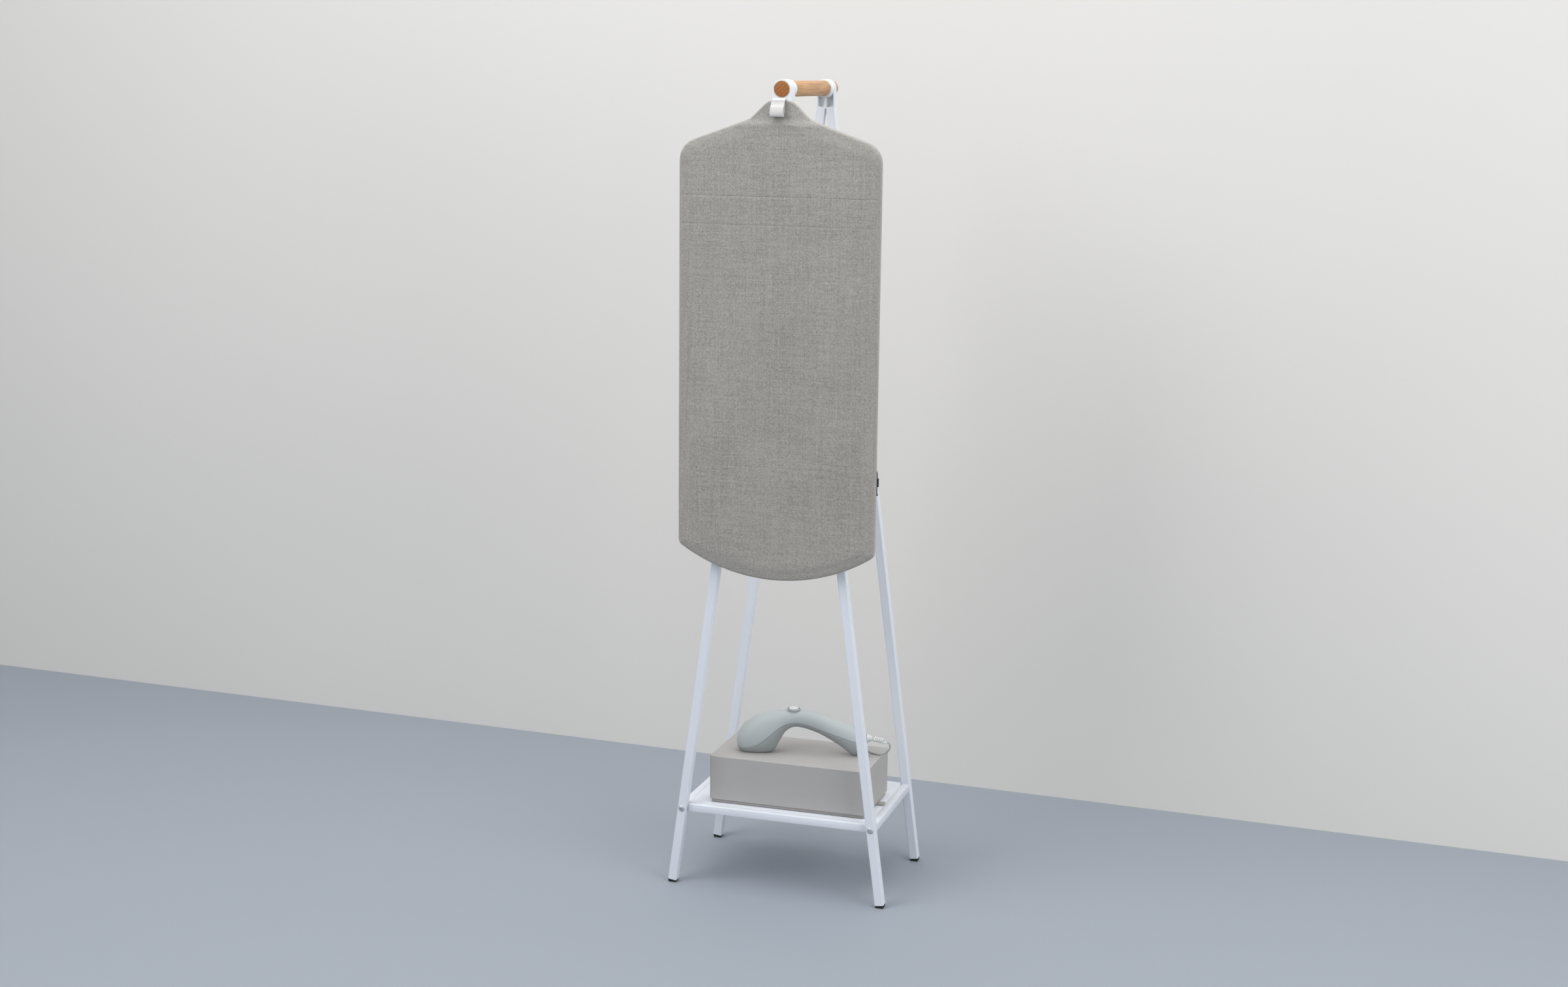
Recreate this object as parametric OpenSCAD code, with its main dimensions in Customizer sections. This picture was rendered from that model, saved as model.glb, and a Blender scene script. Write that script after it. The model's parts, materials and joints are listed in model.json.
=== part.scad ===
// Pressing stand: a four-legged tube stand with a wooden carrying bar, a padded
// pressing board hung on the bar's front end, and a steamer on a low shelf.
// Millimetres, +Z up, the front faces -Y, the origin is on the floor below the middle.

/* [Stand] */
// Height of the carrying bar's axis above the floor
bar_height = 1600; // [1450:5:1750]
// Diameter of the wooden carrying bar
bar_dia = 30; // [24:1:32]
// How far the bar stands out behind the rear bracket
bar_tail = 21; // [10:1:40]
// Outside width of the square leg tube
tube = 18; // [16:1:22]
// Wall of the leg tube
tube_wall = 1.5; // [1:0.1:2.5]
// Distance between the left and right feet, centre to centre
foot_spacing = 440; // [420:5:500]
// Distance between the front and rear legs, centre to centre
frame_depth = 280; // [260:5:340]
// Gap between the two tubes of a pair at their top ends
leg_gap = 2; // [1:0.5:4]
// How far the leg tops lie below the bar's axis
leg_drop = 39; // [36:1:60]
// Height of a rubber foot below the end of its tube
foot_rise = 6; // [4:1:16]
// How much narrower a rubber foot is at the floor
foot_taper = 3; // [1:0.5:5]
// Length of the foot's stem inside the tube
foot_stem = 25; // [15:1:40]

/* [Top brackets] */
// Wall of the ring round the bar
ring_wall = 2.4; // [2:0.1:4]
// Length of the ring along the bar
ring_length = 34; // [26:1:45]
// Length of the tongues inside the leg tops
tongue_length = 40; // [25:1:60]
// Depth of the two pockets in the inner face
pocket_depth = 13; // [2:0.5:14]
// Thickness of the rib between the pockets and of the walls round them
pocket_rib = 2.2; // [1.6:0.2:4]

/* [Shelf] */
// Height of the shelf's top face
shelf_top = 168; // [150:2:220]
// Width and height of the shelf rails
rail = 15; // [13:1:18]
// How far the front and rear rails lie behind the legs' outer faces
rail_setback = 9.5; // [6:0.5:12]
// Thickness of the shelf panel
panel_thick = 6; // [4:0.5:8]
// Joint between the panel and the rails
panel_joint = 0.4; // [0.2:0.1:0.8]
// Width of the ledge that carries the panel
ledge_width = 8; // [5:1:12]
// Thickness of the ledge that carries the panel
ledge_thick = 3; // [2:0.5:4]
// Thread diameter of the shelf bolts
bolt_dia = 8; // [6:1:8]
// Diameter of the bolts' domed heads
bolt_head_dia = 14; // [13:0.5:16]
// Height of the bolts' domed heads
bolt_head_rise = 3; // [3:0.5:5]
// Outside diameter of the threaded bushes in the rail ends
bush_dia = 11; // [10:0.5:12]
// Length of the threaded bushes
bush_length = 20; // [14:1:30]

/* [Board] */
// Width of the pressing board
board_width = 400; // [360:5:440]
// Length of the board's straight sides
board_side = 777; // [600:1:850]
// How far the lower edge sags below the straight sides
board_sag = 61; // [40:1:90]
// How far the neck's top lies below the bar's axis
neck_drop = 21.5; // [19:0.5:30]
// Height of the neck
neck_height = 34; // [24:1:40]
// Width of the neck's top
neck_top_width = 48; // [46:1:70]
// Width of the neck at the shoulders
neck_base_width = 118; // [96:2:130]
// How far the shoulders fall from the neck to the sides
shoulder_fall = 50; // [40:1:70]
// Radius of the shoulder corners
shoulder_radius = 42; // [15:1:50]
// Radius of the neck's top corners
neck_radius = 11; // [6:1:12]
// Thickness of the stiff core panel
core_thick = 6; // [4:0.5:9]
// Thickness of the padding
padding_thick = 8.6; // [6:0.2:14]
// Thickness of the fabric cover
cover_thick = 1.2; // [0.8:0.1:2]
// How far the padded front bulges in its middle
board_crown = 3; // [1:0.5:6]
// Thickness of the plate that hangs the board
plate_thick = 8; // [6:0.5:10]
// Wall of the plate round the sleeve
plate_wall = 2.3; // [2:0.1:4]
// How far the plate reaches below the bar's axis
plate_reach = 125; // [110:5:180]
// Wall of the slip sleeve in the plate
sleeve_wall = 0.9; // [0.8:0.1:1.5]
// Gap between the front bracket and the board's hanger
hanger_gap = 1; // [0.5:0.1:2]
// How far the bar's end stands out of the hanger plate
bar_nose = 2; // [1:0.5:6]
// Width of the webbing pull tab
tab_width = 26; // [20:1:30]
// Length of the webbing pull tab
tab_drop = 34; // [25:1:45]
// Thickness of the webbing
webbing_thick = 1.6; // [1:0.1:2]
// Diameter of the rubber bumpers behind the board
bumper_dia = 18; // [12:1:24]
// How far the bumpers are below the bar's axis
bumper_drop = 840; // [700:5:880]
// How far the drawstring's cord lock is below the bar's axis
lock_drop = 738; // [640:2:780]
// Diameter of the cord lock
lock_dia = 7.4; // [6:0.2:8]
// Diameter of the drawstring
string_dia = 2.4; // [2:0.1:3]

/* [Steamer base] */
// Width of the base's cover
base_width = 330; // [300:2:340]
// Depth of the base's cover
base_depth = 172; // [160:2:190]
// Height of the base's cover
cover_height = 91; // [80:1:110]
// Wall of the base's cover
cover_wall = 2.5; // [2:0.1:3.5]
// Radius of the cover's upright edges
cover_radius = 5; // [3:0.5:12]
// Height of the cover's lower edge above the shelf
plinth_rise = 8; // [6:0.5:14]
// How far the plinth lies inside the cover
plinth_inset = 3; // [2:0.5:8]
// Place of the base on the shelf, left to right
base_x = 13; // [0:1:16]
// Place of the base on the shelf, front to back
base_y = -26; // [-35:1:0]
// How far the side tab stands out of the cover
side_tab = 13; // [6:1:14]
// Outside diameter of the filler neck at the back
filler_dia = 34; // [28:1:40]

/* [Handset] */
// Place of the handset's middle from the base's middle, left to right
hand_x = 7; // [2:1:8]
// Place of the handset's middle from the base's middle, front to back
hand_y = -6; // [-10:1:4]
// Turn of the handset on the base, in degrees
hand_turn = 10; // [6:1:12]
// Height of the handle's arch above the base
arch_rise = 90; // [84:1:96]
// Wall of the handset's shells
shell_wall = 2.2; // [1.8:0.1:2.6]
// Thickness of the steam plate
sole_thick = 2; // [1.5:0.1:3]
// Diameter of the steam holes
steam_hole_dia = 3; // [2:0.2:4]
// Diameter of the button
button_dia = 20.4; // [18:0.2:22]
// Diameter of the boss round the button
boss_dia = 28; // [27:0.5:30]
// Travel of the button
button_travel = 1.5; // [1:0.1:2]

/* [Cord] */
// Diameter of the curly cord's wire
wire_dia = 3.2; // [2.8:0.1:3.6]
// Outside diameter of the curls
curl_dia = 11.2; // [10:0.2:13]
// Distance from curl to curl
curl_pitch = 4.6; // [4.4:0.1:6]
// Number of curls
curls = 5; // [3:1:6]

/* [Clearances] */
// Radial running fit of the sleeve, the button and the filler cap
run_fit = 0.05; // [0.02:0.01:0.1]
// Radial clearance round fasteners
screw_fit = 0.1; // [0.05:0.05:0.3]
// Clearance of plugs and tongues inside a tube
plug_fit = 0.15; // [0.1:0.05:0.4]
// Gap between pieces that come apart
rest_gap = 0.3; // [0.2:0.05:0.5]

/* [Hidden] */
$fn = 48;

// Stand
bar_r = bar_dia / 2;
foot_half = foot_spacing / 2;
frame_half = frame_depth / 2;
leg_top_half = (tube + leg_gap) / 2;
leg_top = bar_height - leg_drop;
leg_lean = atan((foot_half - leg_top_half) / leg_top);
leg_length = leg_top / cos(leg_lean);
leg_face = frame_half + tube / 2;
tube_bore = tube - 2 * tube_wall;
tube_round = 2;
floor_cut = 60;

// Top brackets
ring_r = bar_r + ring_wall;
corner_drop = tube / 2 * sin(leg_lean);
bracket_half = leg_top_half + tube / 2 * cos(leg_lean);
bracket_screw_drop = 20;
bracket_screw_r = 2;
bracket_screw_head_r = 4;
bracket_screw_head = 2.2;
bracket_screw_length = 12;

// Shelf
rail_mid = shelf_top - rail / 2;
bolt_x = foot_half - rail_mid * tan(leg_lean);
side_rail_half = frame_half - tube / 2;
rail_face = leg_face - rail_setback;
leg_inner = foot_half - shelf_top * tan(leg_lean) - tube / 2 / cos(leg_lean);
cross_rail_half = leg_inner - rest_gap;
panel_half_x = bolt_x - rail / 2 - panel_joint;
panel_half_y = rail_face - rail - panel_joint;
dome_r = (pow(bolt_head_dia / 2, 2) + pow(bolt_head_rise, 2)) / (2 * bolt_head_rise);
socket_r = 2.9;
socket_depth = 2.4;

// Board, measured from the bar's axis
board_half = board_width / 2;
sleeve_r = bar_r + run_fit;
sleeve_outer = sleeve_r + sleeve_wall;
sleeve_flange = 0.6;
plate_bore = sleeve_outer + run_fit;
plate_r = plate_bore + plate_wall;
plate_back = -leg_face - hanger_gap;
plate_front = plate_back - plate_thick;
bar_front = plate_front - bar_nose;
bar_rear = leg_face + bar_tail;
core_front = plate_front - core_thick;
padding_front = core_front - padding_thick;
cover_front = padding_front - rest_gap - cover_thick;
neck_top = -neck_drop;
neck_base = neck_top - neck_height;
shoulder_z = neck_base - shoulder_fall;
side_end = shoulder_z - board_side;
board_low = side_end - board_sag;
sag_radius = (pow(board_half, 2) + pow(board_sag, 2)) / (2 * board_sag);
board_mid = (neck_top + board_low) / 2;
neck_fillet = 20;
hem_radius = 14;
sag_steps = 8;
core_inset = cover_thick + rest_gap;
edge_round = 7;
crown_share = [0.6, 0.9];
plate_screw_half = 10;
plate_screw_drops = [70, 105];
plate_screw_r = 2;
plate_screw_length = plate_thick + core_thick - 1.5;
bumper_height = bar_height - bumper_drop;
lock_height = bar_height - lock_drop;
bumper_x = foot_half - bumper_height * tan(leg_lean);
bumper_depth = hanger_gap + plate_thick - rest_gap;
lock_y = plate_front + rest_gap + lock_dia / 2;
lock_x = board_half - 1;
lock_length = 16;
string_rise = 26;
string_tail = 16;
knot_r = 2.4;

// Pull tab profile from the neck's top edge over to the front
tab_top = neck_top + 4.2;
tab_back = core_front - 2;
tab_hang = cover_front - webbing_thick / 2 - board_crown;
tab_slack = 2.4;
tab_route = [
    [tab_back, neck_top + rest_gap],
    [tab_back - 0.6, tab_top - webbing_thick],
    [tab_back - 4, tab_top - webbing_thick / 2],
    [tab_hang + 2, tab_top - 1.8],
    [tab_hang, tab_top - 6],
    [tab_hang, tab_top - tab_drop + 4],
    [tab_hang - tab_slack / 2, tab_top - tab_drop + webbing_thick / 2],
    [tab_hang - tab_slack, tab_top - tab_drop + 4],
    [tab_hang - tab_slack, tab_top - 8],
    [tab_hang - tab_slack + 0.8, tab_top - 3]
];

// Middle of the whole stand, front to back
front_reach = tab_hang - tab_slack - webbing_thick / 2;
centre_y = (front_reach + bar_rear) / 2;

// Steamer base
base_low = shelf_top + rest_gap;
base_foot_rise = 1;
base_foot_r = 8;
base_foot_edge = 26;
plinth_low = base_low + base_foot_rise;
cover_low = shelf_top + plinth_rise;
base_top = cover_low + cover_height;
plinth_floor = 2.5;
plinth_floor_top = plinth_low + plinth_floor;
plinth_lip = 5;
plinth_radius = cover_radius - 1;
cover_chamfer = 1.5;
inner_half_x = base_width / 2 - cover_wall;
inner_half_y = base_depth / 2 - cover_wall;
plinth_half_x = base_width / 2 - plinth_inset;
plinth_half_y = base_depth / 2 - plinth_inset;
side_tab_width = 15;
side_tab_thick = 3;
side_tab_y = 14;
post_edge = 14;
post_r = 4.5;
post_screw_r = 1.5;
post_screw_head_r = 3;
post_screw_head = 1.6;
post_screw_length = 14;

// Inside the base
tank_wall = 2;
tank_width = 170;
tank_side_gap = 28;
tank_depth = base_depth - 2 * cover_wall - 16;
tank_height = cover_height - 22;
tank_x = -inner_half_x + tank_side_gap + tank_width / 2;
tank_y = inner_half_y - 4 - tank_depth / 2;
tank_low = plinth_floor_top;
filler_r = filler_dia / 2;
filler_bore = filler_r - 4;
filler_x = tank_x;
filler_z = tank_low + tank_height - filler_r - 4;
filler_out = 4;
neck_flange_thick = 2;
cap_r = filler_r;
cap_thick = 8;
cap_stem = 12;
cap_grip = [6, 4];
pump_r = 17;
pump_length = 52;
pump_x = inner_half_x - 62;
pump_y = inner_half_y - 44;
pump_z = plinth_floor_top + 21;
pump_foot = [40, 30, 4];
pump_port_r = 3;
pump_port = 12;
board_size = [86, 54, 1.6];
board_x = inner_half_x - 66;
board_y = -inner_half_y + 46;
board_post = 6;
board_post_r = 3;
chip_size = [18, 12, 7];
inlet_x = inner_half_x - 44;
inlet_z = cover_low + 26;
inlet_size = [30, 24, 24];
inlet_flange = [40, 32, 2.5];
inlet_recess = [24, 18, 16];
inlet_pin = [2, 12, 4];
inlet_pin_gap = 7;

// Handset, measured along its own length from its middle and up from the base
tail_end = 133;
tail_mid = 37.5;
button_u = -18;
boss_rise = 3.8;
boss_top = arch_rise + boss_rise;
boss_r = boss_dia / 2;
boss_root = 9;
boss_flare = 6;
boss_chamfer = 1;
skirt_bore = 7.2;
skirt_drop = 12;
button_r = button_dia / 2;
button_gap = 0.6;
button_proud = 0.8;
button_thick = 2.8;
button_low = boss_top + button_proud - button_thick;
well_floor = button_low - button_travel - rest_gap;
well_thick = 2;
skirt_low = well_floor - well_thick - skirt_drop;
stem_r = 3;
stem_reach = 2;
stem_low = well_floor - well_thick - stem_reach;
switch_rise = 6;
switch_r = skirt_bore - screw_fit;
switch_pin_r = 2;
switch_top = stem_low - button_travel - rest_gap;
sole_low = rest_gap;
sole_top = sole_low + sole_thick;
shell_low = sole_top + rest_gap;
// Where the sole ends, and the size of the blocks that cut the shells
sole_back = -50;
cut_reach = 200;
cut_half = 50;
cut_deep = 60;
steam_u = -92;
chamber_r = 15;
chamber_rise = 12;
steam_rings = [[0, 1], [7, 6], [13, 10]];
shell_joint = 0.2;
// Each station: top point, bottom point and half width of the cross section
stations = [
    [[-134.5, 25], [-134.5, 19], 3, 0.45],
    [[-133, 35], [-131, 6], 15, 0.45],
    [[-126, 49], [-120, -5], 23, 0.45],
    [[-113, 63.5], [-102, -9], 27, 0.42],
    [[-96, 74.5], [-80, -8], 28, 0.3],
    [[-74, 82], [-59, 2], 26, 0.12],
    [[-52, arch_rise - 3.5], [-46, 24], 22, 0.1],
    [[-33, arch_rise - 0.5], [-34, 44], 18.5, 0.25],
    [[-14, arch_rise + 0.5], [-17, 54.5], 16.5, 0.42],
    [[10, arch_rise], [4, 53], 16, 0.43],
    [[38, 83.5], [29, 45.5], 16.5, 0.46],
    [[65, 75], [56, 32.5], 17.5, 0.32],
    [[92, 65], [82, 16.5], 18, 0.07],
    [[113, 55.5], [104, 1], 17.5, -0.14],
    [[124, 51], [119, 6], 17, -0.2],
    [[130, 48], [131, 12.5], 14.5, -0.2],
    [[tail_end, tail_mid + 3], [tail_end, tail_mid - 3], 2.5, -0.2]
];
ring_steps = 2;
upper_sides = 14;
lower_sides = 7;
tail_plug = 6;
tail_cap = 2;
tail_plug_r = 6.5;
tail_cap_r = 9;
relief_length = 9;
relief_wide = 7.5;
relief_narrow = 5.2;

// Cord, in the handset's own frame
wire_r = wire_dia / 2;
gland_at = [122, 20];
gland_size = [12, 11, 9];
gland_bore_rise = 4.5;
gland_stem_r = 4;
gland_stem = 8;
gland_mouth = [gland_at[0] + gland_size[0] / 2, gland_at[1], gland_bore_rise];
curl_r = curl_dia / 2 - wire_r;
curl_slope = 10;
curl_rings = 8;
curl_ramp = 4;
curl_sides = 6;
curl_lead_in = wire_dia;
curl_start = [tail_end + relief_length, 0, tail_mid];
curl_axis = [cos(curl_slope), 0, -sin(curl_slope)];
curl_up = [sin(curl_slope), 0, cos(curl_slope)];
curl_end = curl_start + curl_axis * (2 * curl_lead_in + curl_pitch * curls);
// Steps of the plain lead from the gland, and its last steps before the curls
lead_from_gland = [
    [0, 0, 0], [4, -0.2, -0.3], [10, -2, -1.9], [17, -6.5, -2.7], [24, -10.5, -2.8],
    [30, -12.2, -2.6], [37, -12.6, -1.5], [43, -13.9, 2]
];
lead_to_curls = [[7.2, 3.6, -19], [8.4, 1.6, -13], [8.6, 0.7, -8], [7, 0.2, -3.6]];
lead_gap = 0.05;
lead_route = concat(
    [for (step = lead_from_gland) gland_mouth + step],
    [for (step = lead_to_curls) curl_end + step],
    [for (away = [3.9, lead_gap]) curl_end + curl_axis * away]
);
lead_sides = 8;

// Small vector helpers
function unit(v) = v / norm(v);
function mix(a, b, t) = a + (b - a) * t;

// Points of an arc that rounds the corner b of the path a, b, c
function corner(a, b, c, r, n) =
    let (u = unit(a - b))
    let (v = unit(c - b))
    let (half = acos(u * v) / 2)
    let (mid = b + unit(u + v) * r / sin(half))
    let (from = b + u * r / tan(half) - mid)
    let (to = b + v * r / tan(half) - mid)
    let (start = atan2(from[1], from[0]))
    let (raw = atan2(to[1], to[0]) - start)
    let (sweep = raw > 180 ? raw - 360 : raw < -180 ? raw + 360 : raw)
    [for (i = [0:n]) mid + r * [cos(start + sweep * i / n), sin(start + sweep * i / n)]];

// Point of the sagging lower edge at a share of the half width
function sag_point(t) =
    let (x = board_half * t)
    [x, board_low + sag_radius - sqrt(pow(sag_radius, 2) - x * x)];

// Right half of the board's outline, from the neck's top to the lowest point
neck_tip = [neck_top_width / 2, neck_top];
neck_root = [neck_base_width / 2, neck_base];
shoulder_tip = [board_half, shoulder_z];
side_tip = [board_half, side_end];
right_edge = concat(
    corner([0, neck_top], neck_tip, neck_root, neck_radius, 4),
    corner(neck_tip, neck_root, shoulder_tip, neck_fillet, 3),
    corner(neck_root, shoulder_tip, side_tip, shoulder_radius, 6),
    corner(shoulder_tip, side_tip, sag_point(1 - 1 / sag_steps), hem_radius, 3),
    [for (i = [1:sag_steps - 1]) sag_point(1 - i / sag_steps)]
);
edge_count = len(right_edge);
outline = concat(
    right_edge,
    [[0, board_low]],
    [for (i = [edge_count - 1:-1:0]) [-right_edge[i][0], right_edge[i][1]]]
);

// Outline drawn in by a distance
function inset(points, d) =
    let (n = len(points))
    [for (i = [0:n - 1])
        let (along = unit(points[(i + 1) % n] - points[(i + n - 1) % n]))
        points[i] + d * [along[1], -along[0]]];

// Ring of the board at a depth, and its crowned middle
function board_ring(d, y) = [for (p = inset(outline, d)) [p[0], y, bar_height + p[1]]];
function crown_ring(y) =
    [for (p = outline)
        [p[0] * crown_share[0], y, bar_height + mix(board_mid, p[1], crown_share[1])]];

// Triangles between two neighbouring rings of n points
function strip(a, b, n) =
    [for (i = [0:n - 1])
        let (j = (i + 1) % n)
        each [[a + i, b + i, b + j], [a + i, b + j, a + j]]];

// Triangles that close a ring whose two halves mirror each other
function mirror_cap(a, half) =
    concat(
        [for (i = [0:half - 2])
            let (l = 2 * half - i)
            each [[a + i, a + l, a + l - 1], [a + i, a + l - 1, a + i + 1]]],
        [[a + half - 1, a + half + 1, a + half]]
    );
function flip(faces) = [for (f = faces) [f[2], f[1], f[0]]];

// Tube swept along a list of points, with a steady frame
function tangents(p) =
    [for (i = [0:len(p) - 1]) unit(p[min(i + 1, len(p) - 1)] - p[max(i - 1, 0)])];
function carried(t, i, n) =
    i == len(t) ? [] :
    let (m = unit(n - (n * t[i]) * t[i]))
    concat([m], carried(t, i + 1, m));

function ring_loop(path, r, sides, up) =
    let (t = tangents(path))
    let (n = carried(t, 0, up))
    [for (i = [0:len(path) - 1]) for (k = [0:sides - 1])
        path[i] + r * (cos(360 * k / sides) * n[i] + sin(360 * k / sides) * cross(t[i], n[i]))];

module swept_tube(path, r, sides, up = [0, 0, 1]) {
    last = (len(path) - 1) * sides;
    walls = [for (i = [0:len(path) - 2]) each strip(i * sides, (i + 1) * sides, sides)];
    ends = [for (k = [1:sides - 2]) each [[0, k, k + 1], [last, last + k + 1, last + k]]];
    polyhedron(ring_loop(path, r, sides, up), concat(walls, ends), convexity = 10);
}

// Helix of the curls, which leaves and meets its axis at both ends
function curl_radius(i, last) = curl_r * min(1, i / curl_ramp, (last - i) / curl_ramp);
function curl_point(i, last) =
    let (a = 360 * i / curl_rings)
    curl_start + curl_axis * (curl_lead_in + curl_pitch * i / curl_rings)
    + curl_radius(i, last) * (cos(a) * curl_up + sin(a) * [0, 1, 0]);
curl_last = curl_rings * curls;
curl_route = concat(
    [curl_start],
    [for (i = [0:curl_last]) curl_point(i, curl_last)],
    [curl_end]
);
curl_self_gap = min([for (i = [0:curl_last]) for (j = [i + curl_rings - 2:1:curl_last])
    norm(curl_point(i, curl_last) - curl_point(j, curl_last))]) - wire_dia;
echo(curl_self_gap = curl_self_gap);

// Handset cross sections, with steps between the stations
flat_stations = [for (s = stations) [s[0][0], s[0][1], s[1][0], s[1][1], s[2], s[3]]];
station_last = len(stations) - 1;
function between(i, t) =
    let (a = flat_stations[max(i - 1, 0)])
    let (b = flat_stations[i])
    let (c = flat_stations[i + 1])
    let (d = flat_stations[min(i + 2, station_last)])
    (2 * b + (c - a) * t + (2 * a - 5 * b + 4 * c - d) * t * t + (3 * b - a - 3 * c + d) * t * t * t) / 2;
sections = concat(
    [for (i = [0:station_last - 1]) for (k = [0:ring_steps - 1]) between(i, k / ring_steps)],
    [flat_stations[station_last]]
);
section_count = len(sections);
// Point of a section at an angle from its top, drawn in by a wall
function section_point(s, angle, wall) =
    let (top = [s[0], 0, s[1]])
    let (low = [s[2], 0, s[3]])
    let (tall = norm(top - low) / 2)
    (top + low) / 2
    + (top - low) / 2 * cos(angle) * max(tall - wall, tall / 3) / tall
    + [0, sin(angle) * max(s[4] - wall, s[4] / 3), 0];
function seam_angle(s) = acos(-s[5]);
seam_half_gap = atan(shell_joint / 2 / (arch_rise / 4));

// Frames that place pieces
module at_middle() { translate([0, -centre_y, 0]) children(); }
module at_leg(side, y) { translate([side * foot_half, y, 0]) rotate([0, -side * leg_lean, 0]) children(); }
module at_base() { translate([base_x, base_y, 0]) children(); }
module at_hand() { translate([base_x + hand_x, base_y + hand_y, base_top]) rotate(hand_turn) children(); }

// Shared shapes
module rounded(w, d, r) {
    square([w - 2 * r, d], center = true);
    square([w, d - 2 * r], center = true);
    for (x = [-1, 1]) for (y = [-1, 1]) translate([x * (w / 2 - r), y * (d / 2 - r)]) circle(r);
}
module along_y(r, from, to) { translate([0, to, 0]) rotate([90, 0, 0]) cylinder(r = r, h = to - from); }
module board_slab(d, from, to) {
    translate([0, to, bar_height]) rotate([90, 0, 0]) linear_extrude(to - from) polygon(inset(outline, d));
}

// Countersunk screw that points along +Y, with its head's face at y = 0
module flat_screw(r, head_r, head, length, spare = 0) {
    rotate([-90, 0, 0]) {
        cylinder(r1 = head_r + spare, r2 = r + spare, h = head);
        cylinder(r = r + spare, h = length + spare);
    }
}

// Screw through the outer face of a leg's top
module bracket_screw(side, face, spare = 0) {
    at_leg(side, face * frame_half)
        translate([0, face * tube / 2, leg_length - bracket_screw_drop])
            rotate(face > 0 ? 180 : 0)
                flat_screw(bracket_screw_r, bracket_screw_head_r, bracket_screw_head,
                    bracket_screw_length, spare);
}
module bolt_hole(r) {
    for (side = [-1, 1]) translate([side * bolt_x, 0, rail_mid]) along_y(r, -leg_face - 1, leg_face + 1);
}

// Legs and feet
module leg(side, face) {
    color("#dfe3ea") difference() {
        at_leg(side, face * frame_half) translate([0, 0, foot_rise]) difference() {
            linear_extrude(leg_length - foot_rise) rounded(tube, tube, tube_round);
            translate([0, 0, -1]) linear_extrude(leg_length + 1) square(tube_bore, center = true);
        }
        bolt_hole(bolt_dia / 2 + screw_fit);
        bracket_screw(side, face, screw_fit);
    }
}
module foot(side, face) {
    low = tube / 2 - foot_taper * (foot_rise + tube_round) / foot_rise / 2;
    taper = [[-tube / 2, foot_rise], [tube / 2, foot_rise], [low, -tube_round], [-low, -tube_round]];
    plug = tube_bore - 2 * plug_fit;
    color("#1c1c1e") difference() {
        at_leg(side, face * frame_half) {
            intersection() {
                rotate([90, 0, 0]) linear_extrude(tube, center = true) polygon(taper);
                rotate([90, 0, 90]) linear_extrude(tube, center = true) polygon(taper);
            }
            translate([0, 0, foot_rise + foot_stem / 2]) cube([plug, plug, foot_stem], center = true);
        }
        translate([side * foot_half, face * frame_half, -floor_cut / 2]) cube(floor_cut, center = true);
    }
}

// Top brackets and the bar
module top_bracket(face) {
    plug = tube_bore - 2 * plug_fit;
    spread = (bracket_half - ring_r) / (leg_drop - corner_drop);
    pocket_outer = leg_drop - corner_drop - pocket_rib;
    pocket_inner = leg_drop + corner_drop - pocket_rib;
    profile = [
        [-ring_r, 0], [ring_r, 0], [bracket_half, corner_drop - leg_drop],
        [leg_gap / 2, -leg_drop - corner_drop], [-leg_gap / 2, -leg_drop - corner_drop],
        [-bracket_half, corner_drop - leg_drop]
    ];
    color("#e4e7ec") difference() {
        union() {
            mirror([0, face > 0 ? 0 : 1, 0]) translate([0, leg_face, bar_height]) rotate([90, 0, 0]) {
                cylinder(r = ring_r, h = ring_length);
                linear_extrude(tube) polygon(profile);
            }
            for (side = [-1, 1]) at_leg(side, face * frame_half)
                translate([0, 0, leg_length - tongue_length / 2])
                    cube([plug, plug, tongue_length + tube_round], center = true);
        }
        translate([0, 0, bar_height]) along_y(bar_r + run_fit, -leg_face - 1, leg_face + 1);
        for (side = [-1, 1])
            translate([0, face * (frame_half - tube / 2) + pocket_depth, bar_height]) rotate([90, 0, 0])
                linear_extrude(2 * pocket_depth) difference() {
                    polygon([
                        [side * pocket_rib / 2, 0], [side * (ring_r - pocket_rib), 0],
                        [side * (ring_r - pocket_rib + spread * pocket_outer), -pocket_outer],
                        [side * pocket_rib / 2, -pocket_inner]
                    ]);
                    circle(r = ring_r + pocket_rib / 2);
                }
        for (side = [-1, 1]) bracket_screw(side, face, screw_fit);
    }
}
module bracket_screws() {
    color("#b9bcc0") for (side = [-1, 1]) for (face = [-1, 1]) bracket_screw(side, face);
}
module carry_bar() {
    color("#d7b185") translate([0, 0, bar_height]) along_y(bar_r, bar_front, bar_rear);
}

// Shelf
module cross_rail(face) {
    color("#dfe3ea") translate([0, face * (rail_face - rail / 2), rail_mid])
        cube([2 * cross_rail_half, rail, rail], center = true);
}
module side_rail(side) {
    ledge_z = rail / 2 - panel_thick - ledge_thick;
    color("#dfe3ea") difference() {
        translate([side * bolt_x, 0, rail_mid]) {
            cube([rail, 2 * side_rail_half, rail], center = true);
            translate([-side * (rail + ledge_width) / 2, 0, ledge_z + ledge_thick / 2])
                cube([ledge_width, 2 * panel_half_y, ledge_thick], center = true);
        }
        for (face = [-1, 1]) translate([side * bolt_x, face * side_rail_half, rail_mid])
            along_y(bush_dia / 2, -bush_length, bush_length);
    }
}
module shelf_panel() {
    color("#e2e6ec") translate([0, 0, shelf_top - panel_thick / 2])
        cube([2 * panel_half_x, 2 * panel_half_y, panel_thick], center = true);
}
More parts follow.
